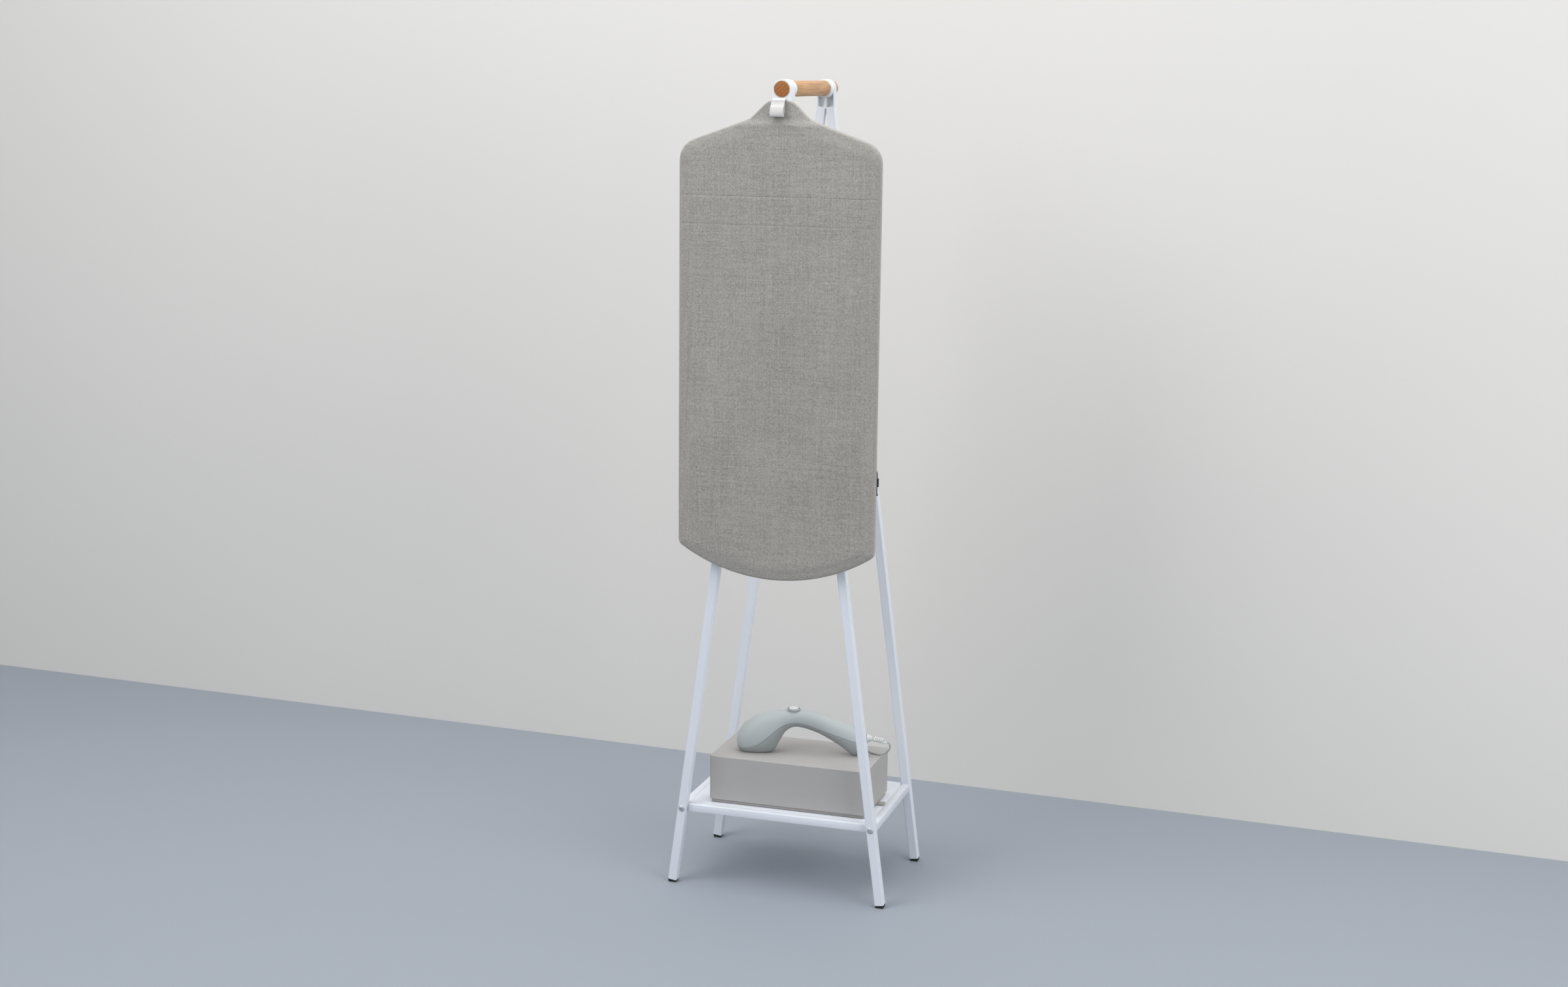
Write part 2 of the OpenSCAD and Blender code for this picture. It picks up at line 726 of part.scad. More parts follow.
module shelf_bolts() {
    reach = tube + bush_length;
    color("#c9cbcd") for (side = [-1, 1]) for (face = [0, 180])
        rotate(face) translate([side * bolt_x, -leg_face, rail_mid]) difference() {
            union() {
                along_y(bolt_dia / 2, -1, reach - 1);
                intersection() {
                    translate([0, dome_r - bolt_head_rise, 0]) sphere(dome_r);
                    along_y(bolt_head_dia, -bolt_head_rise - 1, 0);
                }
            }
            rotate([90, 0, 0]) translate([0, 0, bolt_head_rise - socket_depth])
                cylinder(r = socket_r, h = socket_depth + 1, $fn = 6);
        }
}
module shelf_bushes() {
    color("#8e9194") for (side = [-1, 1]) for (face = [0, 180])
        rotate(face) translate([side * bolt_x, -side_rail_half, rail_mid]) difference() {
            along_y(bush_dia / 2, 0, bush_length);
            along_y(bolt_dia / 2 + screw_fit, -1, bush_length + 1);
        }
}

// Board and its hanger
module hanger_sleeve() {
    color("#f2f2f0") translate([0, 0, bar_height]) difference() {
        union() {
            along_y(sleeve_outer, plate_front, plate_back);
            along_y(sleeve_outer + 1, plate_back, plate_back + sleeve_flange);
        }
        along_y(sleeve_r, plate_front - 1, plate_back + 2);
    }
}
module plate_screw_places() {
    for (x = [-1, 1]) for (drop = plate_screw_drops)
        translate([x * plate_screw_half, plate_back, bar_height - drop]) rotate(180) children();
}
module hanger_plate() {
    color("#eceef0") difference() {
        translate([0, plate_back, bar_height]) rotate([90, 0, 0]) linear_extrude(plate_thick) difference() {
            union() {
                circle(plate_r);
                translate([-plate_r, -plate_reach]) square([2 * plate_r, plate_reach]);
            }
            circle(plate_bore);
        }
        plate_screw_places() flat_screw(plate_screw_r, 2 * plate_screw_r, plate_screw_r,
            plate_screw_length, screw_fit);
    }
}
module hanger_screws() {
    color("#b9bcc0") plate_screw_places()
        flat_screw(plate_screw_r, 2 * plate_screw_r, plate_screw_r, plate_screw_length);
}
module board_core() {
    color("#c9b79c") difference() {
        board_slab(core_inset, core_front, plate_front);
        plate_screw_places() flat_screw(plate_screw_r, 2 * plate_screw_r, plate_screw_r,
            plate_screw_length, screw_fit);
    }
}
module board_padding() {
    color("#e6e1d6") board_slab(edge_round + cover_thick, padding_front, core_front);
}
module board_cover() {
    w = cover_thick;
    bend = edge_round;
    count = len(outline);
    rings = [
        board_ring(w / 3, plate_front),
        board_ring(0, plate_front - core_thick / 2),
        board_ring(0, cover_front + bend),
        board_ring(bend * 0.25, cover_front + bend * 0.3),
        board_ring(bend, cover_front),
        crown_ring(cover_front - board_crown),
        crown_ring(cover_front - board_crown + w),
        board_ring(bend + w / 2, cover_front + w),
        board_ring(bend * 0.25 + w, cover_front + bend * 0.3 + w),
        board_ring(w, cover_front + bend + w / 2),
        board_ring(w, plate_front - core_thick / 2),
        board_ring(w, plate_front)
    ];
    front = 5 * count;
    inside = 6 * count;
    faces = concat(
        [for (i = [0:4]) each strip(i * count, (i + 1) * count, count)],
        mirror_cap(front, edge_count),
        flip(mirror_cap(inside, edge_count)),
        [for (i = [6:10]) each strip(i * count, (i + 1) * count, count)],
        strip(11 * count, 0, count)
    );
    color("#a9a7a5") polyhedron([for (r = rings) each r], flip(faces), convexity = 10);
}
module pull_tab() {
    t = [for (i = [0:len(tab_route) - 1])
        unit(tab_route[min(i + 1, len(tab_route) - 1)] - tab_route[max(i - 1, 0)])];
    near = [for (i = [0:len(t) - 1]) tab_route[i] + webbing_thick / 2 * [-t[i][1], t[i][0]]];
    far = [for (i = [len(t) - 1:-1:0]) tab_route[i] - webbing_thick / 2 * [-t[i][1], t[i][0]]];
    color("#f4f4f2") translate([-tab_width / 2, 0, bar_height]) rotate([90, 0, 90])
        linear_extrude(tab_width) polygon(concat(near, far));
}
module board_bumpers() {
    color("#2a2a2c") for (side = [-1, 1]) translate([side * bumper_x, 0, bumper_height])
        along_y(bumper_dia / 2, plate_front, plate_front + bumper_depth);
}
module drawstring() {
    foot = lock_height - lock_length / 2 - string_tail;
    route = [
        [lock_x - 3, plate_front + rest_gap, lock_height + string_rise],
        [lock_x - 2.4, plate_front + 1.8, lock_height + string_rise - 1],
        [lock_x - 1, lock_y - 0.6, lock_height + string_rise - 4],
        [lock_x, lock_y, lock_height + string_rise - 9],
        [lock_x, lock_y, lock_height - lock_length / 2],
        [lock_x, lock_y, foot]
    ];
    color("#2a2a2c") {
        swept_tube(route, string_dia / 2, 8);
        translate([lock_x, lock_y, foot]) sphere(knot_r);
    }
}
module cord_lock() {
    color("#19191b") translate([lock_x, lock_y, lock_height]) difference() {
        cylinder(r = lock_dia / 2, h = lock_length, center = true);
        cylinder(r = string_dia / 2 + screw_fit, h = lock_length + 2, center = true);
    }
}

// Steamer base
module base_corners(edge) {
    for (x = [-1, 1]) for (y = [-1, 1])
        translate([x * (base_width / 2 - edge), y * (base_depth / 2 - edge), 0]) children();
}
module base_cover() {
    color("#a6a4a1") at_base() {
        difference() {
            union() {
                translate([0, 0, cover_low]) linear_extrude(cover_height - cover_chamfer)
                    rounded(base_width, base_depth, cover_radius);
                hull() {
                    translate([0, 0, base_top - cover_chamfer - 0.01]) linear_extrude(0.01)
                        rounded(base_width, base_depth, cover_radius, $fn = 32);
                    translate([0, 0, base_top - 0.01]) linear_extrude(0.01)
                        rounded(base_width - 2 * cover_chamfer, base_depth - 2 * cover_chamfer,
                            cover_radius - cover_chamfer / 2, $fn = 32);
                }
            }
            translate([0, 0, cover_low - 1]) linear_extrude(cover_height - cover_wall + 1)
                rounded(2 * inner_half_x, 2 * inner_half_y, cover_radius - cover_wall / 2);
            translate([filler_x, 0, filler_z])
                along_y(filler_r + screw_fit, inner_half_y - 2, base_depth / 2 + 2);
            translate([inlet_x, base_depth / 2, inlet_z])
                cube([inlet_size[0] + 2 * screw_fit, 4 * cover_wall, inlet_size[2] + 2 * screw_fit],
                    center = true);
            gland_stem_hole(gland_stem_r + screw_fit);
        }
        base_corners(post_edge) translate([0, 0, plinth_floor_top]) difference() {
            cylinder(r = post_r, h = base_top - cover_wall - plinth_floor_top);
            translate([0, 0, -1]) cylinder(r = post_screw_r + screw_fit, h = post_screw_length + 1);
        }
    }
}
module gland_stem_hole(r) {
    translate([hand_x, hand_y, 0]) rotate(hand_turn) translate([gland_at[0], gland_at[1], base_top - 20])
        cylinder(r = r, h = 40);
}
module base_plinth() {
    wall = cover_wall;
    color("#8f8d8a") at_base() difference() {
        union() {
            translate([0, 0, plinth_low]) linear_extrude(cover_low + plinth_lip - plinth_low)
                rounded(2 * plinth_half_x, 2 * plinth_half_y, plinth_radius);
            translate([plinth_half_x - 1, side_tab_y - side_tab_width / 2, plinth_low])
                cube([plinth_inset + side_tab + 1, side_tab_width, side_tab_thick]);
        }
        translate([0, 0, plinth_floor_top]) linear_extrude(cover_height)
            rounded(2 * (plinth_half_x - wall), 2 * (plinth_half_y - wall), plinth_radius - wall / 2);
        base_corners(post_edge) base_screw(screw_fit);
    }
}
module base_screw(spare = 0) {
    translate([0, 0, plinth_low]) {
        cylinder(r = post_screw_head_r + spare, h = post_screw_head);
        cylinder(r = post_screw_r + spare, h = post_screw_length);
    }
}
module base_screws() { color("#9a9da0") at_base() base_corners(post_edge) base_screw(); }
module base_feet() {
    color("#3a3a3c") at_base() base_corners(base_foot_edge) translate([0, 0, base_low])
        cylinder(r = base_foot_r, h = base_foot_rise);
}
module water_tank() {
    color("#cfd8dd") at_base() translate([tank_x, tank_y, tank_low]) difference() {
        translate([0, 0, tank_height / 2]) cube([tank_width, tank_depth, tank_height], center = true);
        translate([0, 0, tank_height / 2])
            cube([tank_width - 2 * tank_wall, tank_depth - 2 * tank_wall, tank_height - 2 * tank_wall],
                center = true);
        translate([filler_x - tank_x, 0, filler_z - tank_low])
            along_y(filler_r + screw_fit, tank_depth / 2 - tank_wall - 1, tank_depth / 2 + 1);
        translate([tank_width / 2, pump_y - tank_y, pump_z - tank_low]) rotate([0, 90, 0])
            cylinder(r = pump_port_r + screw_fit, h = 4 * tank_wall, center = true);
    }
}
module filler_neck() {
    out = base_depth / 2 + filler_out;
    color("#8f8d8a") at_base() translate([filler_x, 0, filler_z]) difference() {
        union() {
            along_y(filler_r, tank_y + tank_depth / 2 - tank_wall, out);
            along_y(filler_r + 3, base_depth / 2, base_depth / 2 + neck_flange_thick);
        }
        along_y(filler_bore, 0, out + 1);
    }
}
module filler_cap() {
    seat = base_depth / 2 + filler_out + rest_gap;
    color("#7f7d7a") at_base() translate([filler_x, 0, filler_z]) {
        along_y(filler_bore - run_fit, seat - cap_stem, seat);
        along_y(cap_r, seat, seat + cap_thick);
        translate([0, seat + cap_thick + cap_grip[1] / 2 - 0.5, 0])
            cube([2 * cap_r - 6, cap_grip[1] + 1, cap_grip[0]], center = true);
    }
}
module pump() {
    color("#4b5056") at_base() translate([pump_x, pump_y, pump_z]) {
        rotate([0, 90, 0]) cylinder(r = pump_r, h = pump_length, center = true);
        rotate([0, 90, 0]) cylinder(r = pump_port_r, h = pump_length + 2 * pump_port, center = true);
        translate([-pump_foot[0] / 2, -pump_foot[1] / 2, plinth_floor_top - pump_z])
            cube([pump_foot[0], pump_foot[1], pump_foot[2] + pump_r / 2]);
    }
}
module control_board() {
    color("#3f6b4f") at_base() translate([board_x, board_y, plinth_floor_top]) {
        for (x = [-1, 1]) for (y = [-1, 1])
            translate([x * (board_size[0] / 2 - 5), y * (board_size[1] / 2 - 5), 0])
                cylinder(r = board_post_r, h = board_post);
        translate([0, 0, board_post + board_size[2] / 2]) cube(board_size, center = true);
        for (x = [-26, 0, 26]) translate([x, 0, board_post + board_size[2] + chip_size[2] / 2])
            cube(chip_size, center = true);
    }
}
module water_hoses() {
    stem_x = hand_x + gland_at[0] * cos(hand_turn) - gland_at[1] * sin(hand_turn);
    stem_y = hand_y + gland_at[0] * sin(hand_turn) + gland_at[1] * cos(hand_turn);
    stem_low = base_top - cover_wall - gland_stem;
    port = pump_x + pump_length / 2 + pump_port;
    rise = stem_low - pump_z;
    color("#d8dcdf") at_base() {
        swept_tube([
            [port, pump_y, pump_z], [port + 5, pump_y, pump_z], [port + 10, pump_y - 3, pump_z + 6],
            [port + 11, pump_y - 8, pump_z + rise * 0.3],
            [mix(port, stem_x, 0.4) + 6, mix(pump_y, stem_y, 0.6), pump_z + rise * 0.6],
            [stem_x + 2, stem_y + 3, pump_z + rise * 0.85], [stem_x, stem_y, stem_low - 3],
            [stem_x, stem_y, stem_low]
        ], pump_port_r, 8);
        translate([tank_x + tank_width / 2 - tank_wall, pump_y, pump_z]) rotate([0, 90, 0])
            cylinder(r = pump_port_r,
                h = pump_x - pump_length / 2 - pump_port - tank_x - tank_width / 2 + tank_wall);
    }
}
module mains_inlet() {
    back = base_depth / 2;
    color("#222325") at_base() translate([inlet_x, 0, inlet_z]) {
        difference() {
            union() {
                translate([0, back - inlet_size[1] / 2, 0]) cube(inlet_size, center = true);
                translate([0, back + inlet_flange[2] / 2, 0])
                    cube([inlet_flange[0], inlet_flange[2], inlet_flange[1]], center = true);
            }
            translate([0, back + inlet_flange[2] - inlet_recess[2] / 2 + 0.01, 0])
                cube([inlet_recess[0], inlet_recess[2], inlet_recess[1]], center = true);
        }
        for (x = [-1, 0, 1])
            translate([x * inlet_pin_gap, back + inlet_flange[2] - inlet_recess[2] + inlet_pin[1] / 2 - 0.5,
                       x == 0 ? 3 : -3])
                cube(inlet_pin, center = true);
    }
}
module cord_gland() {
    color("#8c9191") at_hand() translate([gland_at[0], gland_at[1], 0]) {
        translate([0, 0, gland_size[2] / 2]) cube(gland_size, center = true);
        translate([0, 0, -cover_wall - gland_stem]) cylinder(r = gland_stem_r, h = cover_wall + gland_stem + 1);
    }
}

// Handset
module shell(upper, sides) {
    loop = 2 * (sides + 1);
    rings = [for (s = sections)
        let (seam = seam_angle(s) - (upper ? seam_half_gap : -seam_half_gap))
        let (from = upper ? -seam : seam)
        let (to = upper ? seam : 360 - seam)
        each concat(
            [for (k = [0:sides]) section_point(s, mix(from, to, k / sides), 0)],
            [for (k = [sides:-1:0]) section_point(s, mix(from, to, k / sides), shell_wall)]
        )];
    last = (section_count - 1) * loop;
    walls = [for (i = [0:section_count - 2]) each strip(i * loop, (i + 1) * loop, loop)];
    ends = [for (k = [0:sides - 1])
        let (m = loop - 1 - k)
        each [[k, k + 1, m], [k + 1, m - 1, m], [last + k, last + m, last + k + 1],
              [last + k + 1, last + m, last + m - 1]]];
    polyhedron(rings, flip(concat(walls, ends)), convexity = 10);
}
module handset_body() {
    sides = 2 * upper_sides;
    rings = [for (s = sections) for (k = [0:sides - 1]) section_point(s, 360 * k / sides, 0)];
    last = (section_count - 1) * sides;
    walls = [for (i = [0:section_count - 2]) each strip(i * sides, (i + 1) * sides, sides)];
    ends = [for (k = [1:sides - 2]) each [[0, k, k + 1], [last, last + k + 1, last + k]]];
    polyhedron(rings, flip(concat(walls, ends)), convexity = 10);
}
module below(top, from, to) {
    translate([from, -cut_half, top - cut_deep]) cube([to - from, 2 * cut_half, cut_deep]);
}
module handset_cuts() {
    below(shell_low, -cut_reach, sole_back);
    below(rest_gap, sole_back - 1, cut_reach);
    translate([button_u, 0, 0]) boss_void();
    translate([tail_end - 2 * tail_plug, 0, tail_mid]) rotate([0, 90, 0])
        cylinder(r = tail_plug_r + screw_fit, h = 4 * tail_plug);
}
module boss_void() {
    translate([0, 0, arch_rise - boss_flare]) cylinder(r1 = boss_root + screw_fit, r2 = boss_r + screw_fit,
        h = boss_top - boss_chamfer - arch_rise + boss_flare);
    translate([0, 0, skirt_low - 1]) cylinder(r = boss_root + screw_fit, h = boss_top - skirt_low);
}
module handset_upper_shell() {
    color("#b6bdbd") at_hand() difference() {
        shell(true, upper_sides);
        handset_cuts();
    }
}
module handset_lower_shell() {
    color("#9fa6a6") at_hand() difference() {
        shell(false, lower_sides);
        handset_cuts();
    }
}
module steam_plate() {
    color("#8d9092") at_hand() difference() {
        intersection() {
            handset_body();
            translate([-cut_reach, -cut_half, sole_low])
                cube([cut_reach + sole_back, 2 * cut_half, sole_thick]);
        }
        for (ring = steam_rings) for (k = [1:ring[1]])
            translate([steam_u, 0, sole_low - 1])
                rotate(360 * k / ring[1]) translate([ring[0], 0, 0])
                    cylinder(r = steam_hole_dia / 2, h = sole_thick + 2);
    }
}
module steam_chamber() {
    color("#9b9ea1") at_hand() translate([steam_u, 0, sole_top]) cylinder(r = chamber_r, h = chamber_rise);
}
module button_boss() {
    color("#b6bdbd") at_hand() translate([button_u, 0, 0]) rotate_extrude() polygon([
        [stem_r + run_fit, well_floor], [button_r + button_gap, well_floor],
        [button_r + button_gap, boss_top], [boss_r - boss_chamfer, boss_top],
        [boss_r, boss_top - boss_chamfer], [boss_root, arch_rise - boss_flare],
        [boss_root, skirt_low], [skirt_bore, skirt_low],
        [skirt_bore, well_floor - well_thick], [stem_r + run_fit, well_floor - well_thick]
    ]);
}
module steam_button() {
    color("#c3caca") at_hand() translate([button_u, 0, 0]) rotate_extrude() polygon([
        [0, stem_low], [stem_r, stem_low], [stem_r, button_low], [button_r, button_low],
        [button_r, button_low + button_thick - 0.8], [button_r - 0.8, button_low + button_thick],
        [0, button_low + button_thick]
    ]);
}
module button_switch() {
    color("#303236") at_hand() translate([button_u, 0, skirt_low]) {
        cylinder(r = switch_r, h = switch_rise);
        cylinder(r = switch_pin_r, h = switch_top - skirt_low);
    }
}
module strain_relief() {
    color("#c9cdcd") at_hand() translate([tail_end, 0, tail_mid]) rotate([0, 90, 0]) rotate_extrude() polygon([
        [0, -tail_plug], [tail_plug_r, -tail_plug], [tail_plug_r, shell_joint],
        [tail_cap_r, shell_joint], [tail_cap_r, tail_cap], [relief_wide, tail_cap + 1],
        [relief_narrow, relief_length], [0, relief_length]
    ]);
}

// Cord
module cord_curl() { color("#d2d4d4") at_hand() swept_tube(curl_route, wire_r, curl_sides); }
module cord_lead() { color("#a3a9a9") at_hand() swept_tube(lead_route, wire_r, lead_sides); }

at_middle() leg(-1, -1);  // leg_front_left
at_middle() leg(1, -1);  // leg_front_right
at_middle() leg(-1, 1);  // leg_rear_left
at_middle() leg(1, 1);  // leg_rear_right
at_middle() foot(-1, -1);  // foot_front_left
at_middle() foot(1, -1);  // foot_front_right
at_middle() foot(-1, 1);  // foot_rear_left
at_middle() foot(1, 1);  // foot_rear_right
at_middle() top_bracket(-1);  // top_bracket_front
at_middle() top_bracket(1);  // top_bracket_rear
at_middle() bracket_screws();
at_middle() carry_bar();
at_middle() cross_rail(-1);  // shelf_rail_front
at_middle() cross_rail(1);  // shelf_rail_rear
at_middle() side_rail(-1);  // shelf_rail_left
at_middle() side_rail(1);  // shelf_rail_right
at_middle() shelf_panel();
at_middle() shelf_bolts();
at_middle() shelf_bushes();
at_middle() hanger_sleeve();
at_middle() hanger_plate();
at_middle() hanger_screws();
at_middle() board_core();
at_middle() board_padding();
at_middle() board_cover();
at_middle() pull_tab();
at_middle() board_bumpers();
at_middle() drawstring();
at_middle() cord_lock();
at_middle() base_cover();
at_middle() base_plinth();
at_middle() base_feet();
at_middle() base_screws();
at_middle() water_tank();
at_middle() filler_neck();
at_middle() filler_cap();
at_middle() pump();
at_middle() control_board();
at_middle() water_hoses();
at_middle() mains_inlet();
at_middle() cord_gland();
at_middle() handset_upper_shell();
at_middle() handset_lower_shell();
at_middle() steam_plate();
at_middle() steam_chamber();
at_middle() button_boss();
at_middle() steam_button();
at_middle() button_switch();
at_middle() strain_relief();
at_middle() cord_curl();
at_middle() cord_lead();
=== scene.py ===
import json
import math

import bmesh
import bpy
from bpy.props import FloatProperty, FloatVectorProperty, PointerProperty
from bpy.types import Operator, Panel, PropertyGroup
from mathutils import Matrix, Vector, noise


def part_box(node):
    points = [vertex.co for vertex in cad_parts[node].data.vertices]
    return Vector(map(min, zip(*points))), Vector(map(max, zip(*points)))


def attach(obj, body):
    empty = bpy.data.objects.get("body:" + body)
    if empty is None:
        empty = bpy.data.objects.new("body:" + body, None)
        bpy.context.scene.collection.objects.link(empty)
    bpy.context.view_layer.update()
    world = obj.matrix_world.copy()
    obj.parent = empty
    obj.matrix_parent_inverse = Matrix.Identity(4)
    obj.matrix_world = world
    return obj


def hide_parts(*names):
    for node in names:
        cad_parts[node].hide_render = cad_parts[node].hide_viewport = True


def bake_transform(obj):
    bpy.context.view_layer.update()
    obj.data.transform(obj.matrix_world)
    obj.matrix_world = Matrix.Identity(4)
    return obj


bl_info = {
    "name": "Garment Steaming Stand",
    "version": (1, 0, 0),
    "blender": (4, 5, 0),
    "location": "View3D > Sidebar > Steaming Stand",
    "description": "Dresses a clothes stand with a padded board and a box steamer",
    "category": "Object",
}

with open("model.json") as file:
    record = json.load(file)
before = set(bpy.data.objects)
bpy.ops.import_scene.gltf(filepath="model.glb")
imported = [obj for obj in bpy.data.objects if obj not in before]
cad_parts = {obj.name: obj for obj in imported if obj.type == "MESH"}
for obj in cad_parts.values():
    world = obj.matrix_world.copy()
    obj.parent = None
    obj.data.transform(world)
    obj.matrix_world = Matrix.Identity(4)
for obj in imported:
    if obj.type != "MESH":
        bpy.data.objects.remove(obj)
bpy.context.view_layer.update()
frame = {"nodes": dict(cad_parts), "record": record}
NODES = frame["nodes"]
BODY_OF = {node: body for body, nodes in frame["record"]["behaviour"]["bodies"].items() for node in nodes}
MM = 0.001

# Height of the bar's axis, and the board's outline measured from it, in millimetres
BAR_Z = 1600.0
NECK_TOP, NECK_BASE, SHOULDER, SIDE_END, BOARD_LOW = -21.5, -55.5, -105.5, -882.5, -943.5
NECK_TOP_HALF, NECK_BASE_HALF, BOARD_HALF = 24.0, 59.0, 200.0
NECK_RADIUS, NECK_FILLET, SHOULDER_RADIUS, HEM_RADIUS = 11.0, 20.0, 42.0, 14.0

# The pad: swell of the solid's front, rounding of its edge, and height of the roll at the neck's base
CROWN, EDGE_BEND, NECK_FOLD = 3.0, 7.5, -64.0
# Fold lines across the cloth: height, and share of the full depth
CREASES = [(-201, 1.0), (-255, 0.9), (-357, 0.3), (-720, 0.35)]
# The cloth behind the edge, as (way out, way back) from the board's side and back, round the thick hem
HEM = [
    (0, -5), (0, -1.2), (-1.2, 0.5), (-4, 0.9), (-10, 1.0), (-15, 1.2), (-16.5, 2.9), (-19.5, 3.2),
    (-21.5, 1.6), (-20.5, 0.15), (-6, 0.12), (-1.4, 0.1), (-1.45, -3), (-1.45, -6.05),
]
# Webbing of the tab, and how far it leans to the left for each millimetre down
TAB_HALF, TAB_THICK, TAB_LEAN = 13.0, 1.6, 0.05
# Thickness of the drawstring, radius of its knot, and height of the knot's middle over the lowest point
STRING, KNOT, KNOT_MID = 2.4, 2.3, 2.4

# Lower edge, wall, corner and upper rounding of the steamer's cover
COVER_LOW, COVER_WALL, COVER_CORNER, COVER_BEND = 176.0, 2.5, 5.0, 1.8

# The handset's own frame: along, across and up from a point on the steamer's top
HAND_AT = (20.0, -26.45, 267.0)
HAND_TURN = math.radians(10)

# Cross sections of the handset: top point, bottom point, half width, and how far the seam lies below the
# middle as a share of the half height
STATIONS = [
    (-134.5, 25, -134.5, 19, 3, 0.45), (-133, 35, -131, 6, 15, 0.45), (-126, 49, -120, -5, 23, 0.45),
    (-113, 63.5, -102, -9, 27, 0.42), (-96, 74.5, -80, -8, 28, 0.3), (-74, 82, -59, 2, 26, 0.12),
    (-52, 86.5, -46, 24, 22, 0.1), (-33, 89.5, -34, 44, 18.5, 0.25), (-14, 90.5, -17, 54.5, 16.5, 0.42),
    (10, 90, 4, 53, 16, 0.43), (38, 83.5, 29, 45.5, 16.5, 0.46), (65, 75, 56, 32.5, 17.5, 0.32),
    (92, 65, 82, 16.5, 18, 0.07), (113, 55.5, 104, 1, 17.5, -0.14), (124, 51, 119, 6, 17, -0.2),
    (130, 48, 131, 12.5, 14.5, -0.2), (133, 40.5, 133, 34.5, 2.5, -0.2),
]
# Thickness of the shells, and how far each one's edge lies back from the seam
SHELL_WALL, SEAM_GAP = 2.2, 0.18
# Along the handset: the button, the tail's end and the lower shell's joint; up: the bowl's rim and the tail
BUTTON_U, TAIL_END, JOINT_U, BOSS_TOP, TAIL_MID = -18.0, 133.0, 43.0, 93.8, 37.5
# Length of the cord's sleeve behind the tail
SLEEVE = 9.0

# Route of the cord in the handset's frame: out of the steamer, round, and up to the curls
GLAND_MOUTH = (128.0, 20.0, 4.5)
LEAD_FROM_GLAND = [
    (0, 0, 0), (4, -0.2, -0.3), (10, -2, -1.9), (17, -6.5, -2.7), (24, -10.5, -2.8),
    (30, -12.2, -2.6), (37, -12.6, -1.5), (43, -13.9, 2),
]
LEAD_TO_CURLS = [(7.2, 3.6, -19), (8.4, 1.6, -13), (8.6, 0.7, -8), (7, 0.2, -3.6)]
# The cord's thickness, and the number, pitch, radius and slope of its curls
WIRE, CURLS, CURL_PITCH, CURL_RADIUS, CURL_SLOPE = 3.2, 6, 3.85, 4.6, math.radians(10)
# Steps of the route between two of its points
ROUTE_STEPS = 4

# Radius at which a turned solid begins, close to its axis
NEAR_AXIS = 0.05
# Faces of a block whose corners are listed by x, then y, then z
BLOCK = [(0, 1, 3, 2), (4, 6, 7, 5), (0, 4, 5, 1), (2, 3, 7, 6), (0, 2, 6, 4), (1, 5, 7, 3)]


def srgb(code):
    """Linear colour of an sRGB hex value."""
    parts = [int(code[i:i + 2], 16) / 255 for i in (1, 3, 5)]
    return tuple(c / 12.92 if c <= 0.04045 else ((c + 0.055) / 1.055) ** 2.4 for c in parts) + (1.0,)


def colour(name, description, code):
    """Property for a colour that a user may change."""
    return FloatVectorProperty(
        name=name, description=description, subtype="COLOR", size=4, min=0, max=1, default=srgb(code))


def size(name, description, default):
    """Property for a length, kept in metres."""
    return FloatProperty(name=name, description=description, unit="LENGTH", precision=5, default=default)


class StandFinish(PropertyGroup):
    """Finishes of the legs, the shelf, the brackets and the bar."""
    paint: colour("Paint", "Powder coat of the legs and the shelf", "#e3e7ef")
    moulding: colour("Brackets", "White mouldings at both ends of the bar", "#e6eaee")
    wood: colour("Bar", "Long grain of the beech bar", "#c6996c")
    end_grain: colour("Bar ends", "End grain of the beech bar", "#986130")
    edge: size("Edge", "Rounding of the rails' edges, four times the panel's", 0.0006)


class BoardFinish(PropertyGroup):
    """Cloth and shape of the padded board."""
    light_thread: colour("Light threads", "Lighter threads of the melange cloth", "#bfbbb4")
    dark_thread: colour("Dark threads", "Darker threads of the melange cloth", "#7b7873")
    webbing: colour("Webbing", "Cotton webbing of the pull tab", "#dbd8d6")
    thread_tone: colour("Stitches", "Thread of the hem and of the tab", "#cfccc8")
    swell: size("Swell", "Most that the padding stands proud of the flat form", 0.0025)
    crease: size("Crease", "Depth of the fold lines across the cloth", 0.0011)
    thread: size("Thread", "Spacing of the cloth's threads", 0.0011)


class SteamerFinish(PropertyGroup):
    """Finishes of the steamer, its handset and its cord."""
    cover: colour("Cover", "Moulded cover of the steamer", "#aeacaa")
    plinth: colour("Plinth", "Tray under the cover", "#a3a09d")
    handset: colour("Handset", "Upper shell of the handset", "#b4babb")
    # The lower shell's grey is the upper shell's grey darkened: painted shade of its downward-facing side
    under: colour("Handset below", "Lower shell of the handset", "#9ba0a1")
    button: colour("Button", "Cap of the steam button", "#d5d9d9")
    curls: colour("Curls", "Rubber of the cord's curls", "#d9dcdb")
    # The lead's darker grey is painted shade: the cord is one rubber, and its plain part lies in shadow
    lead: colour("Lead", "Rubber of the cord's plain part", "#a3a7a6")
    seam: size("Seam", "Rounding of the shells along their seam", 0.0008)


class StageFinish(PropertyGroup):
    """Floor, wall and light."""
    floor: colour("Floor", "Plain pale floor", "#99a0aa")
    wall: colour("Wall", "Plain pale wall", "#dedcd8")
    key: FloatProperty(name="Key light", description="Power of the soft key light", unit="POWER", default=77)
    sky: FloatProperty(name="Room light", description="Strength of the even room light", default=0.45)


def look():
    """The settings of the scene."""
    return bpy.context.scene


def hand(u, v, h):
    """A point of the handset's frame as a point of the model, in metres."""
    spun = Vector((u, v, h)) @ Matrix.Rotation(-HAND_TURN, 3, "Z")
    return (spun + Vector(HAND_AT)) * MM


def around(count):
    """Angles of a full turn in equal steps."""
    return [2 * math.pi * k / count for k in range(count)]


